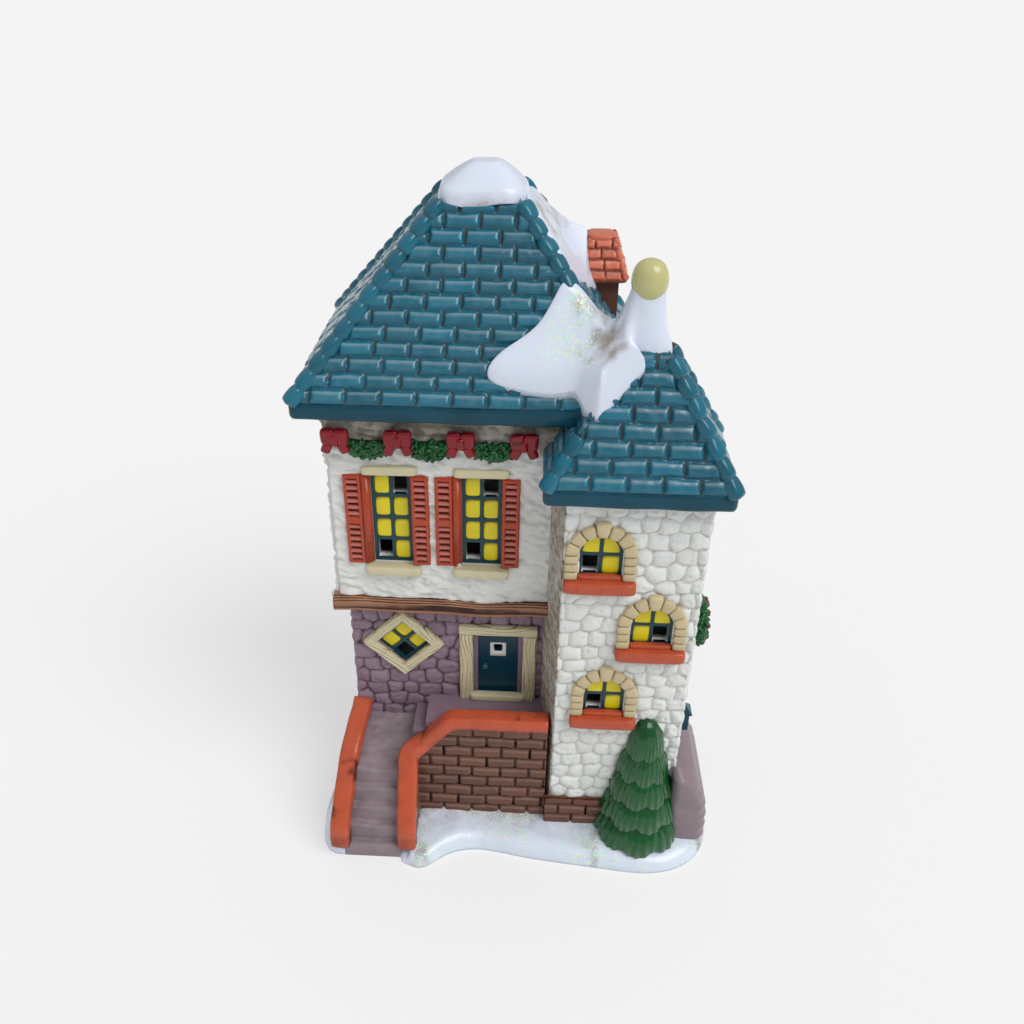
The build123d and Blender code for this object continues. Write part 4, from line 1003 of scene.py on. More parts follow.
# SNOW's joint colour is grime, and painted shade on the front of the peak cap's rim.
SNOW = Snow("snow", srgb(216, 224, 240), srgb(140, 124, 104), coat=0.25, bump=0.1)
PURPLE = Glaze("purple_stone", srgb(134, 112, 127), srgb(58, 44, 54), roughness=0.4, coat=0.12, edge=0.2)
WORN = replace(PURPLE, colour=srgb(136, 122, 128), joint=srgb(88, 76, 76), variant="_worn")
# PLASTER's joint colour is painted shade in the trowel hollows, under the eave and on the tower's left wall,
# and the colour of the dark pits.
PLASTER = Glaze("plaster", srgb(222, 223, 220), srgb(140, 130, 112),
                roughness=0.42, coat=0.12, shade=0.05, mottle=0.1, edge=0.0)
# WHITE_STONE's joint colour is painted shade round the stones' outlines and in their dimples.
WHITE_STONE = Glaze("white_stone", srgb(224, 227, 224), srgb(160, 156, 142),
                    roughness=0.4, coat=0.12, shade=0.08, mottle=0.1, edge=0.12)
BRICK = Glaze("brown_brick", srgb(104, 66, 50), srgb(34, 22, 18), roughness=0.4, coat=0.12, edge=0.2)
TERRACOTTA = Glaze("terracotta", srgb(172, 66, 40), srgb(78, 20, 12),
                   roughness=0.28, coat=0.2, shade=0.2, mottle=0.35, edge=0.4)
CLAY = replace(TERRACOTTA, colour=srgb(186, 82, 52), joint=srgb(96, 30, 16), variant="_clay")
HOOD = replace(CLAY, colour=srgb(206, 110, 82), variant="_hood")
TEAL = Glaze("teal_tile", srgb(18, 98, 120), srgb(60, 57, 55),
             roughness=0.24, coat=0.3, shade=0.4, mottle=0.4, edge=0.4)
# A darker copy of the teal for the fascia: painted shade under the eave.
SHADED_EAVE = replace(TEAL, colour=srgb(0, 66, 84), roughness=0.34, coat=0.05, variant="_eave")
BEAM = Glaze("brown_timber", srgb(150, 104, 76), srgb(50, 28, 20),
             roughness=0.4, coat=0.12, shade=0.45, mottle=0.5)
CREAM = Glaze("cream_trim", srgb(208, 200, 166), srgb(112, 90, 60),
              roughness=0.36, coat=0.15, shade=0.12, mottle=0.2, edge=0.25)
TRIM = replace(CREAM, colour=srgb(198, 182, 144), variant="_arch")
FINIAL = Glaze("cream_trim", srgb(192, 188, 130), srgb(160, 150, 92),
               roughness=0.2, coat=0.4, shade=0.1, mottle=0.1, variant="_finial")
BARS = Glaze("teal_bar", srgb(10, 58, 68), srgb(6, 28, 32), roughness=0.34, coat=0.2)
# YELLOW's joint colour is painted shade towards the panes' tops and left sides.
YELLOW = Glaze("yellow_pane", srgb(224, 208, 20), srgb(120, 104, 10),
               roughness=0.28, coat=0.2, shade=0.1, mottle=0.2)
DOOR = Glaze("dark_teal", srgb(6, 58, 76), srgb(2, 20, 28), roughness=0.3, coat=0.2, shade=0.1, mottle=0.3)
GOLD = Glaze("gold_dot", srgb(52, 88, 98), srgb(26, 46, 52), roughness=0.3, coat=0.3)
GREEN = Glaze("fir_green", srgb(2, 80, 32), srgb(3, 28, 12),
              roughness=0.16, coat=0.4, shade=0.5, mottle=0.3, edge=0.25)
RED = Glaze("bow_red", srgb(124, 0, 20), srgb(56, 0, 8), roughness=0.16, coat=0.3, shade=0.35, mottle=0.35)


def placed(name: str, data: bpy.types.ID) -> bpy.types.Object:
    """Put a new object in the scene.

    Args:
        name: its name.
        data: its mesh, camera or light.

    Returns:
        The object.
    """
    made = bpy.data.objects.new(name, data)
    bpy.context.scene.collection.objects.link(made)
    return made


def piece(name: str, surface: Surface, finish: Glaze, *nodes: str) -> bpy.types.Object:
    """Make a shown piece of the house.

    Args:
        name: its name.
        surface: its shape.
        finish: its look.
        nodes: CAD nodes that it stands for.

    Returns:
        The object.
    """
    mesh = bpy.data.meshes.new(name)
    faces = [row for face in surface.faces for row in face.tolist()]
    mesh.from_pydata(surface.points, [], faces)
    for key, value in (("tone", surface.tone), ("tint", surface.tint)):
        mesh.attributes.new(key, "FLOAT", "POINT").data.foreach_set("value", value.astype(np.float32))
    mesh.polygons.foreach_set("use_smooth", np.ones(len(mesh.polygons), bool))
    mesh.materials.append(finish.material(True))
    made = placed(name, mesh)
    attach(made, "house")
    if nodes:
        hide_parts(*nodes)
    log.info("%s: %d faces", name, len(faces))
    return made


def paint(finish: Glaze, *nodes: str) -> None:
    """Give CAD nodes a finish as they are.

    Args:
        finish: their look.
        nodes: names of the nodes.
    """
    for node in nodes:
        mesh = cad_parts[node].data
        mesh.materials.clear()
        mesh.materials.append(finish.material(False))


def wall_slab(wall: Wall, size: tuple[float, float], cell: float, pattern: Pattern,
              outside: Distance | None = None, sink: float = 0.0003, lift: float = 0.0) -> Surface:
    """A relief on a wall, cut along the edges of its openings. Grid points within half a cell of
    an edge move onto it along the distance's slope, so the edges are clean.

    Args:
        wall: the wall's plane.
        size: width and height.
        cell: size of a cell.
        pattern: heights, tones and tints.
        outside: distance to the openings' edges, negative inside them, or None for no opening.
        sink: how far the hidden side reaches into the wall, with mitred ends.
        lift: added to the heights.

    Returns:
        The surface.
    """
    u, v = np.meshgrid(*(np.linspace(0, length, max(int(length / cell), 2) + 1) for length in size))
    mask = np.ones((u.shape[0] - 1, u.shape[1] - 1), bool)
    if outside is not None:
        mask = outside((u[1:, 1:] + u[:-1, :-1]) / 2, (v[1:, 1:] + v[:-1, :-1]) / 2) > 0
        away, tiny = outside(u, v), cell / 50
        slope_u = (outside(u + tiny, v) - outside(u - tiny, v)) / (2 * tiny)
        slope_v = (outside(u, v + tiny) - outside(u, v - tiny)) / (2 * tiny)
        pull = np.where(np.abs(away) < cell / 2, away, 0)
        u, v = np.clip(u - pull * slope_u, 0, size[0]), np.clip(v - pull * slope_v, 0, size[1])
    height, tone, tint = pattern(u, v)
    hidden = u + np.maximum(sink - u / 2, 0) - np.maximum(sink - (size[0] - u) / 2, 0)
    return Surface.slab(wall.at(u, v, height + lift), wall.at(hidden, v, -sink), mask, tone, tint)


@dataclass(frozen=True)
class Plan:
    """A rectangle in plan, by its sides."""

    x0: float
    y0: float
    x1: float
    y1: float

    @classmethod
    def of(cls, node: str) -> "Plan":
        """The plan of a CAD node's box."""
        low, high = span(node)
        return cls(low[0], low[1], high[0], high[1])

    @classmethod
    def about(cls, middle: Array, half_x: float, half_y: float) -> "Plan":
        """A rectangle about a middle, by its half sides."""
        return cls(middle[0] - half_x, middle[1] - half_y, middle[0] + half_x, middle[1] + half_y)

    @property
    def middle(self) -> Array:
        """Its middle."""
        return np.array((self.x0 + self.x1, self.y0 + self.y1)) / 2

    @property
    def size(self) -> Array:
        """Its width and depth."""
        return np.array((self.x1 - self.x0, self.y1 - self.y0))

    def grown(self, margin: float) -> "Plan":
        """The rectangle with a margin on every side."""
        return Plan(self.x0 - margin, self.y0 - margin, self.x1 + margin, self.y1 + margin)

    def corners(self, z: float) -> Array:
        """Corners at a height, from the front left and anticlockwise from above."""
        x, y = ((self.x0, self.x1, self.x1, self.x0), (self.y0, self.y0, self.y1, self.y1))
        return stacked(x, y, z)

    def walls(self, z: float) -> list[Wall]:
        """Front, right, back and left face, each from its lower left corner."""
        normals = (-BACK, RIGHT, BACK, -RIGHT)
        return [Wall.facing(*corner, normal) for corner, normal in zip(self.corners(z), normals)]


class House:
    """Places of the house's main walls, read from the CAD nodes."""

    def __init__(self) -> None:
        """Read the nodes."""
        self.upper, self.lower = Plan.of("upper_walls"), Plan.of("lower_walls")
        self.tower = Plan.of("tower_walls")
        self.storey_z, self.eave_z = (corner[2] for corner in span("upper_walls"))
        self.ground_z, self.tower_eave_z = span("lower_walls")[0][2], span("tower_walls")[1][2]


house = House()


@dataclass
class Studio:
    """Floor, lights, world and the photograph's camera."""

    eye: tuple[float, float, float] = (0.00133, -0.2311, 0.24463)
    pitch: float = radians(32.06)
    yaw: float = radians(-2.39)
    roll: float = radians(0.66)
    lens: float = 33.41
    shift: tuple[float, float] = (0.0147, -0.0048)
    floor_size: float = 6.0
    paper: Colour = srgb(238, 238, 238)
    even_share: float = 0.5
    sky_low: float = 0.26
    sky_high: float = 0.66
    sun: tuple[float, float, float] = (0.62, -0.45, 0.95)
    sun_power: float = 1.75
    sun_spread: float = radians(38)

    def build(self) -> None:
        """Make them all."""
        self.camera()
        self.floor()
        self.lights()

    def camera(self) -> None:
        """The camera: forward from yaw and pitch, its right and up turned by the roll."""
        level = cos(self.pitch)
        ahead = np.array((sin(self.yaw) * level, cos(self.yaw) * level, -sin(self.pitch)))
        right = np.array((cos(self.yaw), -sin(self.yaw), 0))
        over = np.cross(right, ahead)
        turned = cos(self.roll) * right + sin(self.roll) * over
        over = cos(self.roll) * over - sin(self.roll) * right
        data = bpy.data.cameras.new("photo_camera")
        data.lens = self.lens
        data.shift_x, data.shift_y = self.shift
        data.clip_start = 0.01
        made = placed("photo_camera", data)
        rows = np.column_stack((turned, over, -ahead)).tolist()
        made.matrix_world = Matrix.Translation(self.eye) @ Matrix(rows).to_4x4()
        bpy.context.scene.camera = made

    def floor(self) -> None:
        """Pale floor: partly lit paper, partly its own even tone for what looks at it."""
        mesh = bpy.data.meshes.new("floor")
        corners = Plan.about(np.zeros(2), self.floor_size, self.floor_size).corners(0.0)
        mesh.from_pydata(corners, [], [(0, 1, 2, 3)])
        made = placed("floor", mesh)
        material = bpy.data.materials.new("paper")
        material.use_nodes = True
        tree = material.node_tree
        tree.nodes.clear()
        build = NodeBuilder(tree)
        lit = build.add("BsdfDiffuse", {"Color": self.paper})
        even = build.add("Emission", {"Color": (1.0, 1.0, 1.0, 1.0), "Strength": 0.95})
        path = build.add("LightPath").outputs
        seen = build.maths("MAXIMUM", path["Is Camera Ray"], path["Is Glossy Ray"])
        seen = build.maths("MAXIMUM", seen, path["Is Transmission Ray"])
        share = build.maths("MULTIPLY", seen, self.even_share)
        mixed = build.add("MixShader", {0: share, 1: lit.outputs[0], 2: even.outputs[0]})
        out = build.add("OutputMaterial", {0: mixed.outputs[0]})
        out.is_active_output = True
        mesh.materials.append(material)

    def lights(self) -> None:
        """A world that is brighter overhead and a wide soft sun from the right front."""
        world = bpy.data.worlds.new("studio")
        bpy.context.scene.world = world
        world.use_nodes = True
        build = NodeBuilder(world.node_tree)
        direction = build.add("TexCoord").outputs["Generated"]
        up = build.add("SeparateXYZ", {0: direction}).outputs[2]
        light = build.add("MapRange", {0: up, 1: -0.2, 2: 0.9, 3: self.sky_low, 4: self.sky_high}).outputs[0]
        camera = build.add("LightPath").outputs["Is Camera Ray"]
        colour = build.mix(camera, light, self.paper)
        world.node_tree.links.new(colour, world.node_tree.nodes["Background"].inputs["Color"])
        data = bpy.data.lights.new("sun", "SUN")
        data.energy = self.sun_power
        data.angle = self.sun_spread
        made = placed("sun", data)
        made.location = self.sun
        made.rotation_euler = Vector(self.sun).to_track_quat("Z", "Y").to_euler()


@dataclass
class SnowBase:
    """Ground snow: a rounded rim, bumps, a bank along the stairs and small drifts by the walls."""

    middle: tuple[float, float] = (-0.008, 0.002)
    angles: int = 420
    bins: int = 180
    rim: float = 0.0075
    ledge: float = 0.0025
    wall: float = 0.0035
    bank: float = 0.021
    bank_width: float = 0.0065
    drift: float = 0.0016
    drift_reach: float = 0.003
    grime_reach: float = 0.0055
    seed: int = 21

    def outline(self, angle: Array) -> Array:
        """Distance from the middle to the CAD base's rim: the farthest foot point in each small
        angle, and the foot of the stairs across their mouth.

        Args:
            angle: directions in radians, from -pi up.

        Returns:
            One distance per direction.
        """
        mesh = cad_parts["snow_base"].data
        points = np.zeros(len(mesh.vertices) * 3)
        mesh.vertices.foreach_get("co", points)
        points = points.reshape(-1, 3)
        edges = np.zeros(len(mesh.edges) * 2, int)
        mesh.edges.foreach_get("vertices", edges)
        ends = points[edges.reshape(-1, 2)]
        ends = ends[(ends[:, :, 2] < 0.0005).all(axis=1), :, :2] - np.array(self.middle)
        share = np.linspace(0, 1, 40)[None, :, None]
        places = (ends[:, :1] + (ends[:, 1:] - ends[:, :1]) * share).reshape(-1, 2)
        turn = np.arctan2(places[:, 1], places[:, 0])
        found = np.zeros(self.bins)
        number = ((turn + pi) / (2 * pi) * self.bins).astype(int) % self.bins
        np.maximum.at(found, number, np.linalg.norm(places, axis=1))
        mids = (np.arange(self.bins) + 0.5) / self.bins * 2 * pi - pi
        low = span("stair_flight")[0]
        ends_x = (low[0], span("stair_brick_wall")[0][0])
        mouth = [np.arctan2(low[1] - self.middle[1], x - self.middle[0]) for x in ends_x]
        margin = 0.05
        good = (found > 0) & ~((mids > mouth[0] - margin) & (mids < mouth[1] + margin))
        far = np.interp(angle, mids[good], found[good], period=2 * pi)
        foot = (low[1] + 0.001 - self.middle[1]) / np.minimum(np.sin(angle), -0.1)
        share = smooth(angle, mouth[0] - 0.04, mouth[0] + 0.04)
        share = share * smooth(-angle, -mouth[1] - 0.05, -mouth[1] + 0.02)
        return far + share * (np.minimum(far, foot) - far)

    def hole(self, angle: Array) -> Array:
        """Distance from the middle to the open floor's edge: the nearest of the four sides.

        Args:
            angle: directions in radians.

        Returns:
            One distance per direction.
        """
        edge = house.lower.grown(-self.wall - self.ledge)
        x, y = np.cos(angle), np.sin(angle)
        side = np.where(x > 0, edge.x1, edge.x0) - self.middle[0]
        end = np.where(y > 0, edge.y1, edge.y0) - self.middle[1]
        return np.minimum(*(np.abs(a) / np.maximum(np.abs(b), 1e-9) for a, b in ((side, x), (end, y))))

    def height(self, x: Array, y: Array) -> tuple[Array, Array, Array]:
        """Snow depth: bumps, the bank left of the stairs and drifts in front of the walls.

        Args:
            x: places.
            y: places.

        Returns:
            Height, clean share and glitter share.
        """
        top = house.ground_z
        bumps = 0.0005 * plane_noise(x, y, 0.009, self.seed)
        bumps = bumps + 0.0002 * plane_noise(x, y, 0.003, self.seed + 1)
        low, high = span("left_parapet")
        share = np.clip((high[1] - y) / (high[1] - low[1]), 0, 1)
        edge = high[0] - 0.0045 - share * (high[0] - low[0] - 0.0045)
        away = edge - x
        beside = smooth(y, low[1] - 0.002, low[1] + 0.004) * smooth(-y, -high[1] - 0.014, -high[1] + 0.004)
        pile = self.bank * (1 - 0.78 * share) * np.clip(1 - away / self.bank_width, 0, 1) ** 1.3
        pile = np.where(away > -0.003, pile, 0) * beside
        brick_low = span("front_brick_wall")[0]
        before = np.clip(brick_low[1] - y, 0, 1)
        inside = smooth(x, brick_low[0] - 0.001, brick_low[0] + 0.002)
        inside = inside * smooth(brick_low[1] - y, -0.006, -0.003)
        drift = self.drift * np.exp(-before / self.drift_reach) * inside
        flight_low, flight_high = span("stair_flight")
        slot = (x > flight_low[0]) & (x < flight_high[0]) & (y < flight_high[1])
        z = np.where(slot & (pile < 0.001), 0.5 * top, top + bumps + pile + drift)
        patch = plane_noise(x, y, 0.012, self.seed + 2)
        flakes = smooth(-y, 0.024, 0.03) * inside * smooth(patch, -0.6, 0.5)
        grime = 1 - 0.55 * smooth(patch + 0.4 * plane_noise(x, y, 0.004, self.seed + 3), 0.35, 0.9)
        by_wall = (0.6 + 0.3 * patch) * np.exp(-before / self.grime_reach) * inside
        return z, np.clip(grime - by_wall, 0, 1), flakes

    def build(self) -> None:
        """Make the ring of snow: at each angle one closed section from the rim up and inwards."""
        angle = np.linspace(-pi, pi, self.angles, endpoint=False)[:, None]
        outer, inner = self.outline(angle), self.hole(angle)
        outer = (outer + np.roll(outer, 1, 0) + np.roll(outer, -1, 0)) / 3
        rise = np.linspace(0, pi / 2, 14)[None, :]
        rim_r = outer - self.rim * (1 - np.cos(rise) ** 0.8)
        share = np.linspace(0, 1, 70)[None, 1:]
        flat_r = (outer - self.rim) + (inner - outer + self.rim) * share
        radius = np.concatenate((rim_r, flat_r), axis=1)
        lift = np.concatenate((np.sin(rise) ** 0.8, np.ones_like(share)), axis=1)
        x, y = self.middle[0] + radius * np.cos(angle), self.middle[1] + radius * np.sin(angle)
        z, tone, tint = self.height(x, y)
        top, foot = stacked(x, y, z * lift), stacked(x, y, 0.0)[:, ::-6]
        loops = np.concatenate((top, foot[:, :-1]), axis=1)
        extra = loops.shape[1] - top.shape[1]
        values = [np.concatenate((a, np.full((self.angles, extra), 1.0)), axis=1) for a in (tone, tint)]
        piece("base_snow", Surface.ring(loops, *values), SNOW, "snow_base")


@dataclass
class WallSkins:
    """Plaster over the upper walls, and the stone walls of the lower storey and the tower."""

    fine: float = 0.00042
    coarse: float = 0.0006
    thickness: float = 0.0034
    joint: float = 0.0006
    overlap: float = 0.001
    chamfer: float = 0.0014
    splay: float = 0.0026
    lower_rows: int = 15
    tower_rows: int = 25
    lower_stone: float = 0.0056
    tower_stone: float = 0.0053
    stone_depth: float = 0.0011
    lattice_gap: float = 0.0003
    shutter_gap: float = -0.0005
    lamp_gap: float = 0.0004

    def opening(self, wall: Wall, node: str, margin: float = 0.0) -> Distance:
        """Distance to the outline of a node that fills an opening.

        Args:
            wall: the wall.
            node: lattice, shutters or jamb that fill the opening.
            margin: kept free round the node.

        Returns:
            A distance from places along and up the wall.
        """
        low, high = span(node)
        ends = sorted(float((corner - wall.origin) @ wall.along) for corner in (low, high))
        mid_u, half_u = (ends[0] + ends[1]) / 2, (ends[1] - ends[0]) / 2
        mid_v, half_v = (low[2] + high[2]) / 2 - wall.origin[2], (high[2] - low[2]) / 2
        return lambda u, v: np.maximum(np.abs(u - mid_u) - half_u, np.abs(v - mid_v) - half_v) - margin

    def build(self) -> None:
        """Make the walls of both storeys and the tower."""
        self.upper_storey()
        self.lower_storey()
        self.tower()

    def upper_storey(self) -> None:
        """Plaster on the upper walls, with painted shade under the eave behind the garland."""
        plan, height = house.upper, house.eave_z - house.storey_z
        front, _, back, left = plan.walls(house.storey_z)
        right = replace(plan, y0=house.tower.y1).walls(house.storey_z)[1]
        gaps = (("upper_lattice", self.lattice_gap), ("shutters", self.shutter_gap))
        ends = ("left", "right")
        tests = [self.opening(front, f"{part}_{end}", gap) for part, gap in gaps for end in ends]
        bow_low, bow_high = span("garland_bows")
        first = (bow_high[2] - bow_low[2]) / 2
        # The painted shade starts just above the foot of the bows and hangs in half sines between them.
        plaster = Plaster(depth=0.0012, flare=0.0016, shade_from=bow_low[2] - house.storey_z + 0.001)
        hung = replace(plaster, scallop=0.0026, pitch=(bow_high[0] - bow_low[0] - 2 * first) / 3,
                       start=bow_low[0] + first - plan.x0)
        sides = (
            ("front", front, house.tower.x0 - plan.x0, self.fine, hung,
             lambda u, v: np.minimum.reduce([test(u, v) for test in tests])),
            ("left", left, plan.y1 - plan.y0, self.fine, plaster,
             self.opening(left, "shutters_side", self.shutter_gap)),
            ("back", back, plan.x1 - plan.x0, self.coarse, plaster, None),
            ("right", right, plan.y1 - house.tower.y1, self.coarse, plaster, None),
        )
        for number, (name, wall, length, cell, pattern, outside) in enumerate(sides):
            pattern = Cornered(replace(pattern, seed=11 + 10 * number), length)
            piece(f"upper_{name}_plaster", wall_slab(wall, (length, height), cell, pattern, outside), PLASTER)
        paint(PLASTER, "upper_walls")

    def stone_walls(self, block: str, height: float, stones: Stones, finish: Glaze,
                    sides: tuple[tuple[str, Wall, float, float, Distance | None], ...]) -> None:
        """Stone walls round one block of the house.

        Args:
            block: lower or tower.
            height: height of the walls.
            stones: their pattern.
            finish: their look.
            sides: name, wall, length, cell and distance to the openings of each side.
        """
        for side, wall, length, cell, outside in sides:
            pattern = Cornered(stones, length)
            surface = wall_slab(wall, (length, height), cell, pattern, outside, self.thickness, -self.joint)
            piece(f"{block}_{side}_stones", surface, finish, f"{block}_walls")

    def lower_storey(self) -> None:
        """Purple stone walls of the lower storey."""
        plan, height = house.lower, house.storey_z - house.ground_z
        front, _, back, left = plan.walls(house.ground_z)
        right = replace(plan, y0=house.tower.y1).walls(house.ground_z)[1]
        door = self.opening(front, "door_jamb")
        low, high = span("diamond_lattice")
        mid_u, mid_v = (low[0] + high[0]) / 2 - plan.x0, (low[2] + high[2]) / 2 - house.ground_z
        reach = (high[2] - low[2]) / 2
        low, high = span("lamp_holder")
        lamp_u, lamp_v = plan.x1 - (low[0] + high[0]) / 2, (low[2] + high[2]) / 2 - house.ground_z
        clear = (high[0] - low[0]) / 2 + self.lamp_gap
        stones = Stones(self.lower_stone, height / self.lower_rows, self.stone_depth)
        self.stone_walls("lower", height, stones, PURPLE, (
            ("front", front, house.tower.x0 - plan.x0 + self.overlap, self.fine,
             lambda u, v: np.minimum(door(u, v), (np.abs(u - mid_u) + np.abs(v - mid_v) - reach) / 2**0.5)),
            ("left", left, plan.y1 - plan.y0, self.coarse, None),
            ("right", right, plan.y1 - house.tower.y1, self.coarse, None),
            ("back", back, plan.x1 - plan.x0, self.coarse,
             lambda u, v: np.hypot(u - lamp_u, v - lamp_v) - clear),
        ))

    def tower(self) -> None:
        """White stone walls of the tower, and splayed plaster in painted shade on the side of the door."""
        plan, height = house.tower, house.tower_eave_z - house.ground_z
        front, right, back, _ = replace(plan, x0=plan.x0 + self.chamfer).walls(house.ground_z)
        holes = []
        for name in ("high", "middle", "low"):
            low, high = span(f"arch_stones_{name}")
            half = (high[0] - low[0]) / 2 - ARCH_STONE
            holes.append(((low[0] + high[0]) / 2 - plan.x0 - self.chamfer, low[2] - house.ground_z, half))

        def arches(u: Array, v: Array) -> Array:
            """Distance to the nearest arched opening.

            Args:
                u: places along the wall.
                v: heights up the wall.

            Returns:
                Distances, negative inside an opening.
            """
            return np.minimum.reduce([
                np.maximum(np.hypot(u - mid, np.maximum(v - foot - ARCH_SPRING, 0)) - half, foot - v)
                for mid, foot, half in holes
            ])

        stones = Stones(self.tower_stone, height / self.tower_rows, self.stone_depth, floor=0.35, seed=7)
        self.stone_walls("tower", height, stones, WHITE_STONE, (
            ("front", front, plan.x1 - plan.x0 - self.chamfer, self.fine, arches),
            ("right", right, plan.y1 - plan.y0, self.fine, None),
            ("back", back, plan.x1 - house.lower.x1, self.coarse, None),
        ))
        start = np.array((plan.x0 - self.splay, house.lower.y0 + self.overlap, house.ground_z))
        run = front.origin - start
        length = np.linalg.norm(run)
        left = Wall(start, run / length, np.cross(run / length, UP))
        # Painted shade over the whole wall, which faces away from the light, with dark pits.
        plaster = Plaster(depth=0.0003, shade_from=-1.0, pits=0.6, seed=61)
        surface = wall_slab(left, (length, height), self.fine, plaster, None, self.thickness, -0.0002)
        piece("tower_left_plaster", surface, PLASTER, "tower_walls")


@dataclass
class Masonry:
    """Brick reliefs on the retaining walls and the plinth; the chimney is painted brick."""

    cell: float = 0.0004
    brick: Bricks = Bricks(width=0.0086, height=0.0041, depth=0.0009, joint=0.0005, edge=0.0007)
    corner_height: float = COPING_CORNER
    foot_height: float = 0.0038
    knee: float = 0.645
    lap: float = 0.0004
    level: float = 0.004

    def relief(self, name: str, wall: Wall, size: tuple[float, float], foot: float, slope: float) -> None:
        """Bricks on one wall below a line that rises along it up to the wall's top.

        Args:
            name: piece name.
            wall: the wall's plane.
            size: width and height.
            foot: height of the line where it starts.
            slope: rise of the line per length.
        """
        def below(u: Array, v: Array) -> Array:
            """Distance below the line, lapped a little by the coping."""
            return (np.minimum(size[1], foot + slope * u) + self.lap - v) / (1 + slope**2) ** 0.5

        piece(name, wall_slab(wall, size, self.cell, self.brick, below), BRICK)

    def build(self) -> None:
        """Make the reliefs, cut along the copings."""
        low, high = span("front_brick_wall")
        coping_low, coping_high = span("right_coping")
        size = (high[0] - low[0], high[2] - low[2])
        run = size[0] - (coping_high[0] - coping_low[0]) * self.knee
        slope = (size[1] - self.corner_height) / run
        self.relief("front_bricks", Wall.facing(*low, -BACK), size, self.corner_height, slope)
        low, high = span("stair_brick_wall")
        size = (high[1] - low[1], high[2] - low[2])
        slope = (size[1] - self.foot_height) / (size[0] - self.level)
        wall = Wall.facing(high[0], low[1], low[2], RIGHT)
        self.relief("stair_bricks", wall, size, self.foot_height, slope)
        low, high = span("tower_plinth")
        size = (high[0] - low[0], high[2] - low[2])
        piece("plinth_bricks", wall_slab(Wall.facing(*low, -BACK), size, self.cell, self.brick), BRICK)
        paint(BRICK, "front_brick_wall", "stair_brick_wall", "tower_plinth", "chimney_stack")


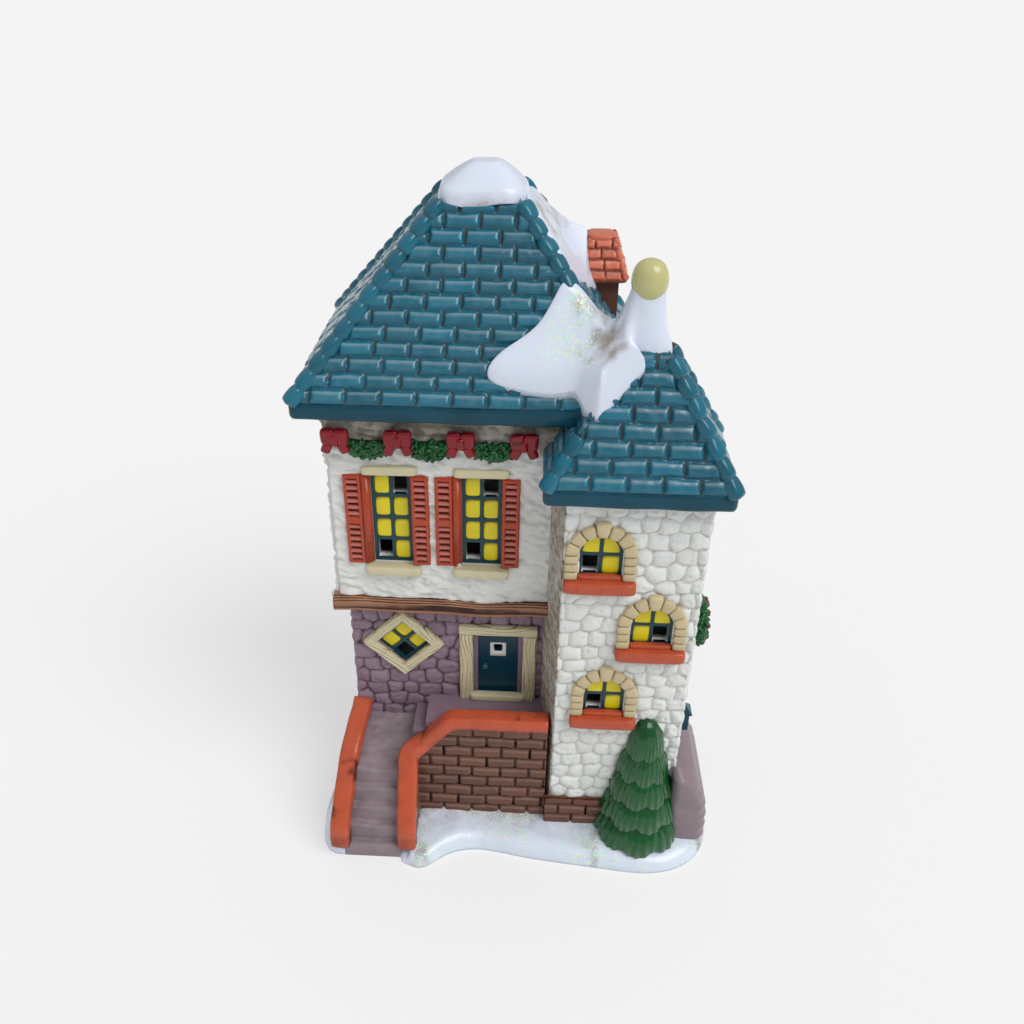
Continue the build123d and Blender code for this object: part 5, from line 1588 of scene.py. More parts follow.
@dataclass
class Stairs:
    """Worn steps, landings and the rounded copings."""

    steps: int = 5
    rise: float = 0.005
    run: float = 0.0028
    batter: float = 0.0003
    nose: float = 0.0004
    fall: float = 0.0002
    skew: float = 0.0046
    tuck: float = 0.0006
    wear: float = 0.0005
    coping_width: float = 0.0058
    coping_height: float = 0.0044
    knee: float = 0.0284
    foot_rise: float = 0.0064
    left_bends: tuple[float, float] = (0.031, 0.0145)
    seed: int = 71

    def build(self) -> None:
        """Make the steps and copings."""
        self.flight()
        self.copings()
        self.side()
        paint(PURPLE, "door_landing", "left_parapet")

    def flight(self) -> None:
        """Steps: a stepped line run across the flight, sagging in the middle of each tread."""
        low, high = span("stair_flight")
        line = [(0.0, low[1], 0.0)]
        for step in range(self.steps):
            y, z = low[1] + step * self.run, house.ground_z + step * self.rise
            line += [(0.0, y + self.batter, z - self.nose), (0.0, y + self.batter + self.nose, z)]
            line += [(0.0, y + self.run - self.batter, z + self.fall)]
        line[-1] = (0.0, high[1], high[2])
        path = round_path(np.array(line), 0.0002, 0.00022)
        y, z = path[:, 1:2], path[:, 2:]
        share = np.linspace(0, 1, 44)[None, :]
        along = (high[1] - y) / (high[1] - low[1])
        left = low[0] + (1 - along) * self.skew - self.tuck
        right = np.where(y > span("front_brick_wall")[1][1], high[0], span("stair_brick_wall")[0][0] + 0.0004)
        x = left + (right - left) * share
        y = np.broadcast_to(y, x.shape)
        sag = self.wear * np.sin(pi * share) * smooth(z, 0.004, 0.006)
        rough = 0.0002 * plane_noise(x, y + z, 0.002, self.seed)
        deep = 0.00018 * plane_noise(x, y + z, 0.006, self.seed + 1)
        shown = stacked(x, y, np.maximum(z - sag + (rough + deep) * smooth(z, 0.001, 0.004), 0))
        hidden = stacked(x, np.linspace(low[1] + 0.0001, high[1], len(y))[:, None], 0.0)
        tone = 0.95 - 0.3 * smooth(plane_noise(x, y, 0.005, self.seed + 2), 0.1, 0.9)
        tint = 0.5 + 0.5 * plane_noise(x, y + z, 0.004, self.seed + 3)
        piece("worn_stairs", Surface.sheets(shown, hidden, tone, tint), WORN, "stair_flight")

    def side(self) -> None:
        """Worn steps on the tower's right: level rounded boxes that narrow towards the top by a
        power curve, with a faint wave per step."""
        low, high = span("side_steps")
        share = np.linspace(0, 0.985, 60)
        wide = (high[0] - low[0]) * (1 - share**2.5) ** 0.4 * (1 + 0.03 * np.sin(12 * pi * share)) + 0.001
        loops = [
            box_profile(w, high[1] - low[1], min(w, 0.006) / 2.2, 8)
            + (low[0] - 0.001 + w / 2, (low[1] + high[1]) / 2) for w in wide
        ]
        heights = low[2] + (high[2] - low[2]) * share
        rings = np.stack([stacked(*loop.T, z) for loop, z in zip(loops, heights)])
        rings[..., :2] += 0.0003 * noise(rings, 0.004, self.seed + 8)[..., None]
        tone = 0.8 + 0.2 * noise(rings, 0.003, self.seed + 9)
        piece("worn_side_steps", Surface.tube(rings, tone), WORN, "side_steps")

    def coping(self, name: str, corners: list[tuple[float, float, float]], node: str) -> None:
        """One coping: a rounded box along a rounded line, roughened, darker down its sides and at its foot as
        painted shade together with darker paint.

        Args:
            name: piece name.
            corners: corners of its middle line.
            node: CAD node that it stands for.
        """
        path = round_path(np.array(corners), 0.0026, 0.0006)
        profile = box_profile(self.coping_width, self.coping_height, 0.0013)
        rings = sweep(path, profile)
        rough = noise(rings, 0.004, self.seed + 5)
        rings = swollen(rings, 1 + 0.05 * rough)
        # Darker down the sides and near the ground: painted shade together with darker paint.
        side = 0.6 * smooth(-profile[:, 1], -self.coping_height / 2 + 0.0006, self.coping_height / 2)
        foot = 0.5 * smooth(house.ground_z + 0.0065 - rings[..., 2], 0.0, 0.003)
        tone = smooth(rough + 0.4 * noise(rings, 0.0016, self.seed + 6), -1.1, -0.3) * (1 - side)
        piece(name, Surface.tube(rings, np.maximum(tone - foot, 0), 0.5 + 0.5 * rough), CLAY, node)

    def copings(self) -> None:
        """Both copings, from the copings' and walls' boxes."""
        half_h, half_w = self.coping_height / 2, self.coping_width / 2
        low, high = span("right_coping")
        wall_low, wall_high = span("front_brick_wall")
        x = span("stair_brick_wall")[0][0] + 0.0023
        y = (wall_low[1] + wall_high[1]) / 2 - 0.0006
        knee = high[0] - self.knee
        corner_z = wall_low[2] + COPING_CORNER + half_h
        top_z = high[2] - half_h
        foot_y, foot_z = low[1] + half_w / 2, low[2] + self.foot_rise
        self.coping(
            "right_coping_glazed",
            [(high[0], y, top_z), (knee, y, top_z), (x + 0.004, y, corner_z + 0.001),
             (x, y - 0.003, corner_z), (x, foot_y, foot_z), (x, foot_y - self.tuck, low[2])],
            "right_coping",
        )
        low, high = span("left_coping")
        back_x, foot_x, foot_y = high[0] - half_w, low[0] + half_w, low[1] + half_w / 2
        self.coping(
            "left_coping_glazed",
            [(back_x, high[1], high[2] - half_h),
             ((back_x + foot_x) / 2, (low[1] + high[1]) / 2, self.left_bends[0] - half_h),
             (foot_x, foot_y, self.left_bends[1] - half_h), (foot_x, foot_y - self.tuck, low[2])],
            "left_coping",
        )


@dataclass(frozen=True)
class Hip:
    """A hipped roof between an eave and a smaller top rectangle."""

    eave: Plan
    top: Plan
    low_z: float
    high_z: float

    def share(self, x: Array, y: Array) -> Array:
        """How far up the roof the surface is above a place: the least of the four slopes.

        Args:
            x: places.
            y: places.

        Returns:
            0 at the eave, 1 on the flat top.
        """
        eave, top = self.eave, self.top
        left, right = (x - eave.x0) / (top.x0 - eave.x0), (eave.x1 - x) / (eave.x1 - top.x1)
        front, back = (y - eave.y0) / (top.y0 - eave.y0), (eave.y1 - y) / (eave.y1 - top.y1)
        return np.minimum.reduce([left, right, front, back, np.ones_like(left + front)])

    def z(self, x: Array, y: Array) -> Array:
        """Height of the roof above a place."""
        return self.low_z + (self.high_z - self.low_z) * self.share(x, y)


@dataclass
class TiledRoof:
    """Tile reliefs on the slopes of a hipped roof, with hip tiles and a rounded eave."""

    hip: Hip
    node: str
    finish: Glaze
    eave_finish: Glaze
    tiles: Bricks
    courses: float
    hip_radius: float
    hip_tile: float
    eave_height: float
    cell: float = 0.00042
    thickness: float = 0.0016
    soffit: float = 0.0095

    def slope(self, number: int, limits: tuple[float, float] | None = None) -> None:
        """One slope: straight lines between its hips, raised by the tiles along its normal.

        Args:
            number: 0 front, 1 right, 2 back, 3 left.
            limits: lowest and highest place along the slope's level axis, or None for all.
        """
        low = self.hip.eave.corners(self.hip.low_z)
        high = self.hip.top.corners(self.hip.high_z)
        a, b = low[number], low[(number + 1) % 4]
        c, d = high[(number + 1) % 4], high[number]
        level = (b - a) / np.linalg.norm(b - a)
        normal = np.cross(b - a, d - a)
        normal /= np.linalg.norm(normal)
        height = abs((d - a) @ np.cross(normal, level))
        v = np.linspace(0, 1, int(height / self.cell))[:, None]
        left, right = a + (d - a) * v, b + (c - b) * v
        start, end = left @ level, right @ level
        if limits:
            start, end = np.clip(start, *limits), np.clip(end, *limits)
        u = np.linspace(0, 1, int(np.linalg.norm(b - a) / self.cell))[None, :]
        place = start[:, None] + (end - start)[:, None] * u
        flat = left[:, None, :] + (place - (left @ level)[:, None])[..., None] * level
        tiles = replace(self.tiles, height=height / self.courses)
        across = place - (a + b) @ level / 2 + tiles.width / 4
        relief, tone, tint = tiles(across, np.broadcast_to(v * height, place.shape))
        relief = relief * (1 - smooth(v, 0.9, 0.94))
        shown = flat + relief[..., None] * normal
        hidden = flat - self.thickness * normal
        name = f"{self.node}_slope_{('front', 'right', 'back', 'left')[number]}"
        piece(name, Surface.sheets(shown, hidden, tone, tint), self.finish, self.node)

    def hip_tiles(self, spans: dict[int, tuple[float, float]]) -> None:
        """Round tiles along hips: a tube whose radius swells and drops once per tile.

        Args:
            spans: corner, 0 front left and on anticlockwise, to its hip's first and last share.
        """
        low, high = self.hip.eave.corners(self.hip.low_z), self.hip.top.corners(self.hip.high_z)
        surfaces = []
        for number, ends in spans.items():
            start, end = (low[number] + (high[number] - low[number]) * part for part in ends)
            count = max(round(np.linalg.norm(end - start) / self.hip_tile), 1)
            path = start + (end - start) * np.linspace(0, 1, count * 16)[:, None]
            share = np.linspace(0, count, count * 16)
            local = share - np.floor(np.clip(share, 0, count - 1e-6))
            swell = 0.68 + 0.38 * np.clip(np.sin(pi * np.clip(local, 0, 1)), 0, 1) ** 0.3 - 0.12 * local
            ring = turns(20)
            square = self.hip_radius * 0.92 * (np.cos(ring) ** 4 + np.sin(ring) ** 4) ** -0.25
            profile = stacked(square * np.cos(ring), 0.85 * square * np.sin(ring))
            rings = swollen(sweep(path, profile), swell[:, None])
            rings = rings + 0.00018 * noise(rings, 0.003, 81 + number)[..., None]
            tint = lattice_random(np.floor(share)[:, None], 83 + number)
            surfaces.append(Surface.tube(rings, smooth(swell, 0.64, 0.9)[:, None], tint[:, None]))
        piece(f"{self.node}_hip_tiles", Surface.joined(surfaces), self.finish, self.node)

    def fascia(self, corners: Array, closed: bool) -> None:
        """Rounded eave band along the corners of the eave.

        Args:
            corners: corner, coordinate.
            closed: join the last corner to the first.
        """
        middle = np.array((-self.soffit / 2 + 0.0004, -self.eave_height / 2 + 0.0003))
        profile = box_profile(self.soffit, self.eave_height, 0.0014) + middle
        if closed:
            start = (corners[:1] + corners[-1:]) / 2
            corners = np.concatenate((start, corners, start))
        path = round_path(corners, 0.0012, 0.0008)
        if closed:
            path = path[:-1]
        rings = sweep(np.concatenate((path[-1:], path, path[:1])) if closed else path, profile)
        rings = rings[1:-1] if closed else rings
        rough = noise(rings, 0.008, 91)
        tint = 0.5 + 0.5 * rough
        rings = rings + 0.0002 * rough[..., None] * UP
        surface = Surface.ring(rings, 1.0, tint) if closed else Surface.tube(rings, 1.0, tint)
        piece(f"{self.node}_fascia", surface, self.eave_finish, self.node)


class Roofs:
    """Main roof, tower roof and chimney hood."""

    eave_height = 0.005
    inside = 0.003
    hood_half = 0.0056
    hood_lean = 0.0013

    def __init__(self) -> None:
        """Set up both hipped roofs."""
        self.main = self.hip(house.upper, house.eave_z, overhang=0.0067, shift=0.0025,
                             half=(0.00775, 0.0075), rise=0.0465)
        self.tower = self.hip(house.tower, house.tower_eave_z, overhang=0.004, shift=0.0012,
                              half=(0.00405, 0.003), rise=0.0307)

    def hip(self, walls: Plan, eave_z: float, overhang: float, shift: float, half: tuple[float, float],
            rise: float) -> Hip:
        """A hipped roof over walls.

        Args:
            walls: plan of the walls.
            eave_z: their top.
            overhang: how far the eave stands out.
            shift: how far the top sits to the right of the middle.
            half: half width and half depth of the top.
            rise: height from eave to top.

        Returns:
            The roof.
        """
        low = eave_z + self.eave_height
        return Hip(walls.grown(overhang), Plan.about(walls.middle + (shift, 0), *half), low, low + rise)

    def build(self) -> None:
        """Make the three roofs."""
        tiles = Bricks(width=0.0088, height=0.004, depth=0.0014, joint=0.0005, edge=0.0013,
                       tilt=0.5, skew=0.3, dust_and_shade=0.5)
        main = TiledRoof(self.main, "main_roof", TEAL, SHADED_EAVE, tiles, courses=13.5, hip_radius=0.0023,
                         hip_tile=0.005, eave_height=self.eave_height)
        for number in range(4):
            main.slope(number)
        main.hip_tiles({0: (-0.004, 0.94), 1: (0.55, 0.94), 2: (-0.004, 0.96), 3: (-0.004, 0.94)})
        main.fascia(self.main.eave.corners(self.main.low_z), True)
        tower = replace(main, hip=self.tower, node="tower_roof", courses=8, hip_radius=0.0022)
        tower.slope(0)
        tower.slope(1)
        tower.slope(2, (-house.tower.x1 - 0.01, -house.upper.x1 + self.inside))
        tower.slope(3, (-house.upper.y0 - self.inside, 1.0))
        tower.hip_tiles({0: (-0.004, 0.4), 1: (-0.004, 0.97), 2: (-0.004, 0.97)})
        corners = self.tower.eave.corners(self.tower.low_z)[[0, 0, 1, 2, 2]]
        corners[0, 1] = house.upper.y0 + self.inside
        corners[-1, 0] = house.upper.x1 - self.inside
        tower.fascia(corners, False)
        self.hood()

    def hood(self) -> None:
        """Shingled chimney hood, leaning a little to the left."""
        low, high = span("chimney_hood")
        middle = np.array((high[0] - self.hood_half - 0.0006, (low[1] + high[1]) / 2))
        crown = middle - (self.hood_lean, 0)
        form = Hip(Plan.about(middle, self.hood_half, self.hood_half), Plan.about(crown, 0.0034, 0.0034),
                   low[2] + 0.0004, high[2] - 0.0006)
        shingles = Bricks(width=0.0044, height=0.0029, depth=0.0014, joint=0.0003, edge=0.0006,
                          tilt=0.85, skew=0.7, dust_and_shade=0.4, seed=25)
        hood = TiledRoof(form, "chimney_hood", HOOD, HOOD, shingles, courses=4, hip_radius=0.0009,
                         hip_tile=0.0031, eave_height=0.0014, cell=0.0003, thickness=0.0012, soffit=0.005)
        for number in range(4):
            hood.slope(number)
        hood.hip_tiles(dict.fromkeys(range(4), (0.0, 1.0)))
        hood.fascia(form.eave.corners(form.low_z + 0.0004), True)
        top = np.array(((*crown, form.high_z - 0.0003),))
        piece("chimney_hood_top", blobs(top, np.diag((0.0038, 0.0038, 0.0011)), 0.5), HOOD, "chimney_hood")


@dataclass
class RoofSnow:
    """Snow on the peak, in the valley, on the slope by the chimney, and the finial on its neck."""

    roofs: Roofs
    depth: float = 0.0016
    edge: float = 0.0034
    cover: float = 0.0024
    sink: float = 0.003
    slope_step: float = 0.0005
    neck_radius: float = 0.0039
    finial_radius: float = 0.00435
    finial_seat: float = 0.75
    cap_share: float = 0.575
    cap_drop: float = 0.0018
    cap_shift: float = 0.0012
    flow: tuple[float, float] = (-0.98, 0.2)
    blur: float = 0.003
    seed: int = 101

    def sheet(self, name: str, node: str, middle: Array, corners: Array, ground: Distance, rise: Distance,
              grime: Distance, flakes: Distance) -> None:
        """A lens of snow: a smooth closed line shrunk towards a middle, thick inside, with a quarter
        round at its rim and an underside that is moved up the slope, so that the rim stands square.

        Args:
            name: piece name.
            node: CAD node that it stands for.
            middle: place that the line shrinks to.
            corners: point, coordinate of the line.
            ground: height of the roof below a place.
            rise: height of a mound or neck at a place.
            grime: share of grime at a place.
            flakes: share of glitter at a place.
        """
        line = closed_curve(corners, 320) - middle
        out = np.sin(np.linspace(0.02, pi / 2, 110))[:, None]
        x, y = (middle[axis] + line[None, :, axis] * out for axis in (0, 1))
        edge = line[::2]
        step = np.roll(edge, -1, axis=0) - edge
        offset = (line * out[..., None])[:, :, None] - edge
        share = np.clip((offset * step).sum(axis=-1) / (step**2).sum(axis=-1), 0, 1)
        gap = np.linalg.norm(offset - share[..., None] * step, axis=-1).min(axis=-1)
        inside, swell = np.clip(gap / self.edge, 0, 1), round_edge(gap, self.edge)
        lump = 0.85 + 0.3 * plane_noise(x, y, 0.009, self.seed)
        lump = lump + 0.08 * plane_noise(x, y, 0.003, self.seed + 1)
        base = ground(x, y)
        z = blend_max(base + self.depth * lump, rise(x, y), 0.0035) - base
        top = stacked(x, y, base + self.cover * (0.75 + 0.25 * swell) + z * swell)
        near = self.slope_step
        lean = (ground(x + near, y) - ground(x - near, y), ground(x, y + near) - ground(x, y - near))
        lean = np.stack(lean) / (2 * near)
        under_x, under_y = lean * 1.1 * (self.cover + self.sink) / (1 + (lean**2).sum(axis=0)) + (x, y)
        bed = np.maximum(self.roofs.main.z(under_x, under_y), self.roofs.tower.z(under_x, under_y))
        low = stacked(under_x, under_y, np.minimum(base, bed) - self.sink)[::-1]
        grain = plane_noise(x, y, 0.0016, self.seed + 2) + plane_noise(x, y, 0.005, self.seed + 3)
        tone = 1 - np.clip(grime(x, y) * (0.9 + 0.5 * grain), 0, 1) * smooth(inside, 0.2, 1.0)
        patch = smooth(plane_noise(x, y, 0.008, self.seed + 4), -0.9, -0.1)
        tint = flakes(x, y) * smooth(inside, 0.3, 1.0) * patch
        values = [np.concatenate((value, value[::-1])) for value in (tone, tint)]
        piece(name, Surface.tube(np.concatenate((top, low)), *values), SNOW, node)

    def soft(self, roof: Hip, blur: float, lift: float) -> Distance:
        """Heights of a roof with rounded hips: the mean over a ring of places.

        Args:
            roof: the roof.
            blur: radius of the ring.
            lift: height added, so that the hips stay covered.

        Returns:
            Heights from places.
        """
        moves = [(blur * cos(turn), blur * sin(turn)) for turn in turns(8)]
        return lambda x, y: sum(roof.z(x + a, y + b) for a, b in moves) / len(moves) + lift

    def build(self) -> None:
        """Make the snow and the finial."""
        self.peak()
        self.valley()
        self.slope()
        self.finial()

    def peak(self) -> None:
        """Cap on the peak: rounded squares, level on top, sloping down to a thick wavy rim."""
        low, high = span("peak_snow")
        mid, half = (low + high) / 2, (high - low) * self.cap_share
        angle = turns(160)[None, :]
        out = np.sin(np.linspace(0.03, pi / 2, 50))[:, None]
        square = (np.abs(np.cos(angle)) ** 4 + np.abs(np.sin(angle)) ** 4) ** -0.25
        front = np.exp(-(((angle / pi - 1.48) / 0.2) ** 2))
        wave = 0.0003 * np.sin(3 * angle + 0.8) - 0.0003 * np.sin(5 * angle + 1.0)
        lean = 1 - np.clip((out - 0.25) / 0.75, 0, 1) ** 1.3 * 0.7
        rim = np.sqrt(np.clip(1 - (np.clip(out - 0.9, 0, 1) / 0.1) ** 2, 0, 1))
        foot = low[2] - self.cap_drop
        z = foot - wave * out**6 + (high[2] + 0.0002 - foot) * lean * (0.12 + 0.88 * rim)
        reach = out * square * (1 + 0.02 * np.sin(3 * angle + 0.6))
        x = mid[0] + self.cap_shift * (1 - out) + half[0] * reach * np.cos(angle)
        rings = stacked(x, mid[1] + half[1] * reach * np.sin(angle), z)
        rings = rings + (0.0003 * noise(rings, 0.006, self.seed + 6))[..., None] * np.array((1, 1, 0.6))
        under = rings[-1:] + 0.35 * (mid - rings[-1:]) * (1, 1, 0) - UP * 0.0008
        rings = np.concatenate((rings, under))
        # The front of the rim and its underside take the grime colour as painted shade.
        lower = np.concatenate((out**14, np.ones((1, 1))))
        tone = 1 - 0.5 * lower * front - 0.15 * smooth(noise(rings, 0.005, self.seed + 7), 0.2, 1.0)
        piece("peak_snow_cap", Surface.tube(rings, tone, 0.0), SNOW, "peak_snow")

    def valley(self) -> None:
        """Drift between the roofs, swept up into a neck under the finial. The neck is flat inside
        its radius, falls gently where the drift flows from it and in a steep flare elsewhere."""
        scale = house.tower.size
        corner = np.array((house.tower.x0, house.upper.y0))
        shares = np.array((
            (-0.01, 0.30), (-0.18, 0.08), (-0.41, -0.05), (-0.49, -0.13), (-0.45, -0.18), (-0.33, -0.21),
            (-0.18, -0.235), (-0.04, -0.255), (0.06, -0.275), (0.12, -0.36), (0.20, -0.47), (0.27, -0.44),
            (0.41, -0.35), (0.48, -0.31), (0.46, -0.26), (0.42, -0.20), (0.50, -0.20), (0.62, -0.18),
            (0.665, -0.03), (0.63, 0.12), (0.48, 0.17), (0.34, 0.16), (0.22, 0.20), (0.10, 0.30),
        ))
        low, high = span("tower_finial")
        axis, neck_z = (low + high) / 2, low[2] + 0.0008
        one = self.soft(self.roofs.main, self.blur, 0.0)
        two = self.soft(self.roofs.tower, 2.5 * self.blur, 0.0028)

        def neck(x: Array, y: Array) -> Array:
            """Height of the neck at places.

            Args:
                x: places.
                y: places.

            Returns:
                Heights.
            """
            away = np.hypot(x - axis[0], y - axis[1])
            along = ((x - axis[0]) * self.flow[0] + (y - axis[1]) * self.flow[1]) / np.maximum(away, 1e-6)
            gentle = smooth(along, -0.3, 1.0)
            far = np.maximum(away - self.neck_radius, 0)
            dome = 0.0008 * np.minimum(away / self.neck_radius, 1) ** 4
            fall = 1 - np.exp(-far / (0.0009 + 0.0046 * gentle))
            return neck_z - dome - (0.0125 + 0.0085 * gentle) * fall

        def ground(x: Array, y: Array) -> Array:
            """Both roofs with a round valley that widens towards the back."""
            return blend_max(one(x, y), two(x, y), 0.003 + 0.01 * smooth(y - corner[1], -0.016, -0.004))

        def grime(x: Array, y: Array) -> Array:
            """A dirty streak down the valley, with a bell-shaped section."""
            return 0.6 * np.exp(-(((x - corner[0] - 0.0083 + 0.35 * (y - corner[1] + 0.0024)) / 0.006) ** 2))

        self.sheet(
            "valley_drift", "valley_snow", corner + np.array((0.30, -0.07)) * scale, corner + shares * scale,
            ground, neck, grime, lambda x, y: smooth(corner[0] + 0.0095 - x, 0.0, 0.006),
        )

    def slope(self) -> None:
        """Snow on the right slope, piled up beside the chimney."""
        mid, half = self.roofs.main.top.middle, self.roofs.main.eave.size / 2
        shares = np.array((
            (0.25, -0.25), (0.31, -0.33), (0.39, -0.43), (0.48, -0.50), (0.54, -0.37), (0.59, -0.18),
            (0.65, 0.03), (0.69, 0.24), (0.69, 0.45), (0.60, 0.61), (0.48, 0.49), (0.36, 0.34), (0.26, 0.2),
        ))
        hood_low, hood_high = span("chimney_hood")
        crest = (hood_low[1] + hood_high[1]) / 2 - 0.0014

        def pile(x: Array, y: Array) -> Array:
            """Height of the pile: a crest that sinks towards the hood, with straight flanks.

            Args:
                x: places.
                y: places.

            Returns:
                Heights.
            """
            flank = np.abs(y - crest)
            line = hood_high[2] - 0.0012 - 0.34 * (x - hood_low[0])
            return line - 0.95 * flank - 6 * np.maximum(x - hood_low[0] - 0.0004, 0)

        self.sheet(
            "slope_drift", "slope_snow", mid + np.array((0.46, 0.05)) * half, mid + shares * half,
            self.roofs.main.z, pile, lambda x, y: 0.5 * smooth(hood_low[0] - x, 0.001, 0.011),
            lambda x, y: 0.6 * smooth(mid[1] - 0.002 - y, 0.0, 0.006),
        )

    def finial(self) -> None:
        """Egg-shaped finial: wider above its middle and flat where it sits."""
        low, high = span("tower_finial")
        mid = (low + high) / 2
        end = pi - self.finial_seat
        ring = turns(48)[None, :]
        lat = np.linspace(0.05, end, 40)[:, None]
        reach = self.finial_radius * np.sin(lat) ** 0.85 * (1 + 0.05 * np.cos(lat))
        z = low[2] + (high[2] - low[2] + 0.0004) * (np.cos(lat) - cos(end)) / (1 - cos(end))
        rings = stacked(mid[0] + reach * np.cos(ring), mid[1] + reach * np.sin(ring), z)
        tone = 0.85 + 0.15 * noise(rings, 0.004, self.seed + 9)
        piece("finial_ball", Surface.tube(rings, tone, 0.5), FINIAL, "tower_finial")


@dataclass
class Windows:
    """Upper windows, arched tower windows and the diamond window."""

    bar: float = 0.001
    pane_at: float = -0.0017
    pane_depth: float = 0.0009
    shutter_width: float = 0.005
    shutter_depth: float = 0.0019
    shutter_gap: float = 0.0022
    cell: float = 0.00017

    def build(self) -> None:
        """Make the windows."""
        for side in ("left", "right", "side"):
            self.upper(side)
        self.arches()
        self.diamond()
        paint(BARS, "upper_lattice_left", "upper_lattice_right", "upper_lattice_side", "diamond_lattice",
              "tower_lattices")

    def reveals(self, wall: Wall, middles: list[tuple[float, float]], size: tuple[float, float]) -> Surface:
        """White sleeves of panes that are cut through.

        Args:
            wall: the wall's plane.
            middles: place along and up of each pane.
            size: width and height of a pane.

        Returns:
            The surface.
        """
        surfaces = []
        across = np.array((0.0, 0.0003, 0.0003, 0.0))
        deep = np.array((-0.0013, -0.0013, -0.0042, -0.0042))
        for u, v in middles:
            loops = [box_profile(size[0] + 2 * a, size[1] + 2 * a, 0.0004) for a in across]
            rings = np.stack([wall.at(u + p[:, 0], v + p[:, 1], d) for p, d in zip(loops, deep)], axis=1)
            surfaces.append(Surface.ring(rings))
        return Surface.joined(surfaces)

    def panes(self, centres: Array, axes: Array) -> Surface:
        """Pillow-shaped panes with painted shade, in olive, towards their tops and left sides, where the
        recess shades them.

        Args:
            centres: pane, coordinate.
            axes: axis, coordinate of their half axes.

        Returns:
            The surface.
        """
        surface, unit = blobs(centres, axes, 0.45), unit_blob(0.45).points
        # Painted shade: darker towards the top and the left side of each pane.
        shade = 1 - 0.75 * smooth(unit[:, 2], 0.3, 1.0) - 0.45 * smooth(-unit[:, 0], 0.4, 1.0)
        surface.tone[:] = np.tile(np.clip(shade, 0, 1), len(centres))
        return surface

    def upper(self, side: str) -> None:
        """One upper window: panes, lintel, sill and shutters.

        Args:
            side: left, right or side.
        """
        low, high = span(f"upper_lattice_{side}")
        if side == "side":
            wall = Wall.facing(house.upper.x0, (low[1] + high[1]) / 2, low[2], -RIGHT)
            width = high[1] - low[1]
        else:
            wall = Wall.facing((low[0] + high[0]) / 2, house.upper.y0, low[2], -BACK)
            width = high[0] - low[0]
        height = high[2] - low[2]
        pitch_u, pitch_v = (width - self.bar) / 2, (height - self.bar) / 4
        cells = [((c - 0.5) * pitch_u, height / 2 + (r - 1.5) * pitch_v) for c in (0, 1) for r in range(4)]
        opened = [cells[0], cells[-1]]
        closed = np.array(cells[1:-1])
        half = wall.axes(pitch_u / 2 - 0.0002, pitch_v / 2 - 0.0002, self.pane_depth)
        panes = self.panes(wall.at(*closed.T, self.pane_at), half)
        piece(f"upper_panes_{side}", panes, YELLOW, "upper_window_panes")
        pane = (pitch_u - self.bar, pitch_v - self.bar)
        piece(f"open_panes_{side}", self.reveals(wall, opened, pane), PLASTER, "upper_window_panes")
        half = wall.axes(width / 2 + 0.002, 0.0013, 0.0013, 0.012)
        lintel = wall.blob((0.0, height + 0.0013, 0.0006), half, 0.22)
        piece(f"lintel_{side}", lintel, CREAM, "window_lintels")
        half = wall.axes(width / 2 + 0.0024, 0.0014, 0.0018, -0.012)
        piece(f"sill_{side}", wall.blob((0.0, -0.0014, 0.0013), half, 0.22), CREAM, "window_sills")
        shutter_low, shutter_high = span(f"shutters_{side}")
        size = (self.shutter_width, shutter_high[2] - shutter_low[2])
        foot = shutter_low[2] - low[2]
        pattern = Louvres(*size, self.shutter_depth)
        surfaces = []
        for start in (-width / 2 - self.shutter_gap - size[0], width / 2):
            plane = Wall(wall.at(start, foot), wall.along, wall.normal)
            surfaces.append(wall_slab(plane, size, self.cell, pattern))
        section = ((0.0, -0.0003), (0.0, 0.0003), (-self.shutter_gap, 0.0017), (-self.shutter_gap, -0.0003))
        ends = np.array((foot, foot + size[1]))
        strip = np.stack([wall.at(-width / 2 + across, ends, out) for across, out in section], axis=1)
        surfaces.append(Surface.tube(strip))
        piece(f"louvres_{side}", Surface.joined(surfaces), TERRACOTTA, f"shutters_{side}")

    def arches(self) -> None:
        """Tower windows: jamb stones, a fan of stones with a keystone, panes and sills."""
        unit = unit_blob(0.45)
        wide, ring, spring = ARCH_WIDTH, ARCH_STONE, ARCH_SPRING
        opened = {"high": 0, "middle": 1, "low": 0}
        for name, column in opened.items():
            low, high = span(f"arch_stones_{name}")
            wall = Wall.facing((low[0] + high[0]) / 2, house.tower.y0, low[2], -BACK)
            rows = 3
            heights = (np.arange(rows) + 0.5) * spring / rows
            middle = wide / 2 + ring / 2
            spots = np.array([(side * middle, v) for side in (-1, 1) for v in heights])
            stones = [blobs(wall.at(spots[:, 0], spots[:, 1], 0.0008),
                            wall.axes(ring / 2, spring / rows / 2 - 0.0001, 0.001), 0.45)]
            fan = 7
            angle = (np.arange(fan) + 0.5) * pi / fan
            key = np.arange(fan) == fan // 2
            deep = np.where(key, ring * 0.62, ring / 2)
            mid_r = wide / 2 + ring / 2 + np.where(key, ring * 0.14, 0)
            turn = angle[:, None] + unit.points[None, :, 0] * (pi / fan / 2 - 0.012)
            radius = mid_r[:, None] + unit.points[None, :, 2] * deep[:, None]
            out = 0.0008 + unit.points[None, :, 1] * np.where(key, 0.0013, 0.001)[:, None]
            points = wall.at(radius * np.cos(turn), spring + radius * np.sin(turn), out)
            stones.append(repeat(unit, points, lattice_random(np.arange(fan)[:, None], 7)))
            piece(f"voussoirs_{name}", Surface.joined(stones), TRIM, f"arch_stones_{name}")
            pane = ((wide - 3 * self.bar) / 2, spring - 2 * self.bar)
            at_u = (column - 0.5) * (pane[0] + self.bar)
            hole = [(at_u, self.bar + pane[1] / 2)]
            reveal = self.reveals(wall, hole, pane)
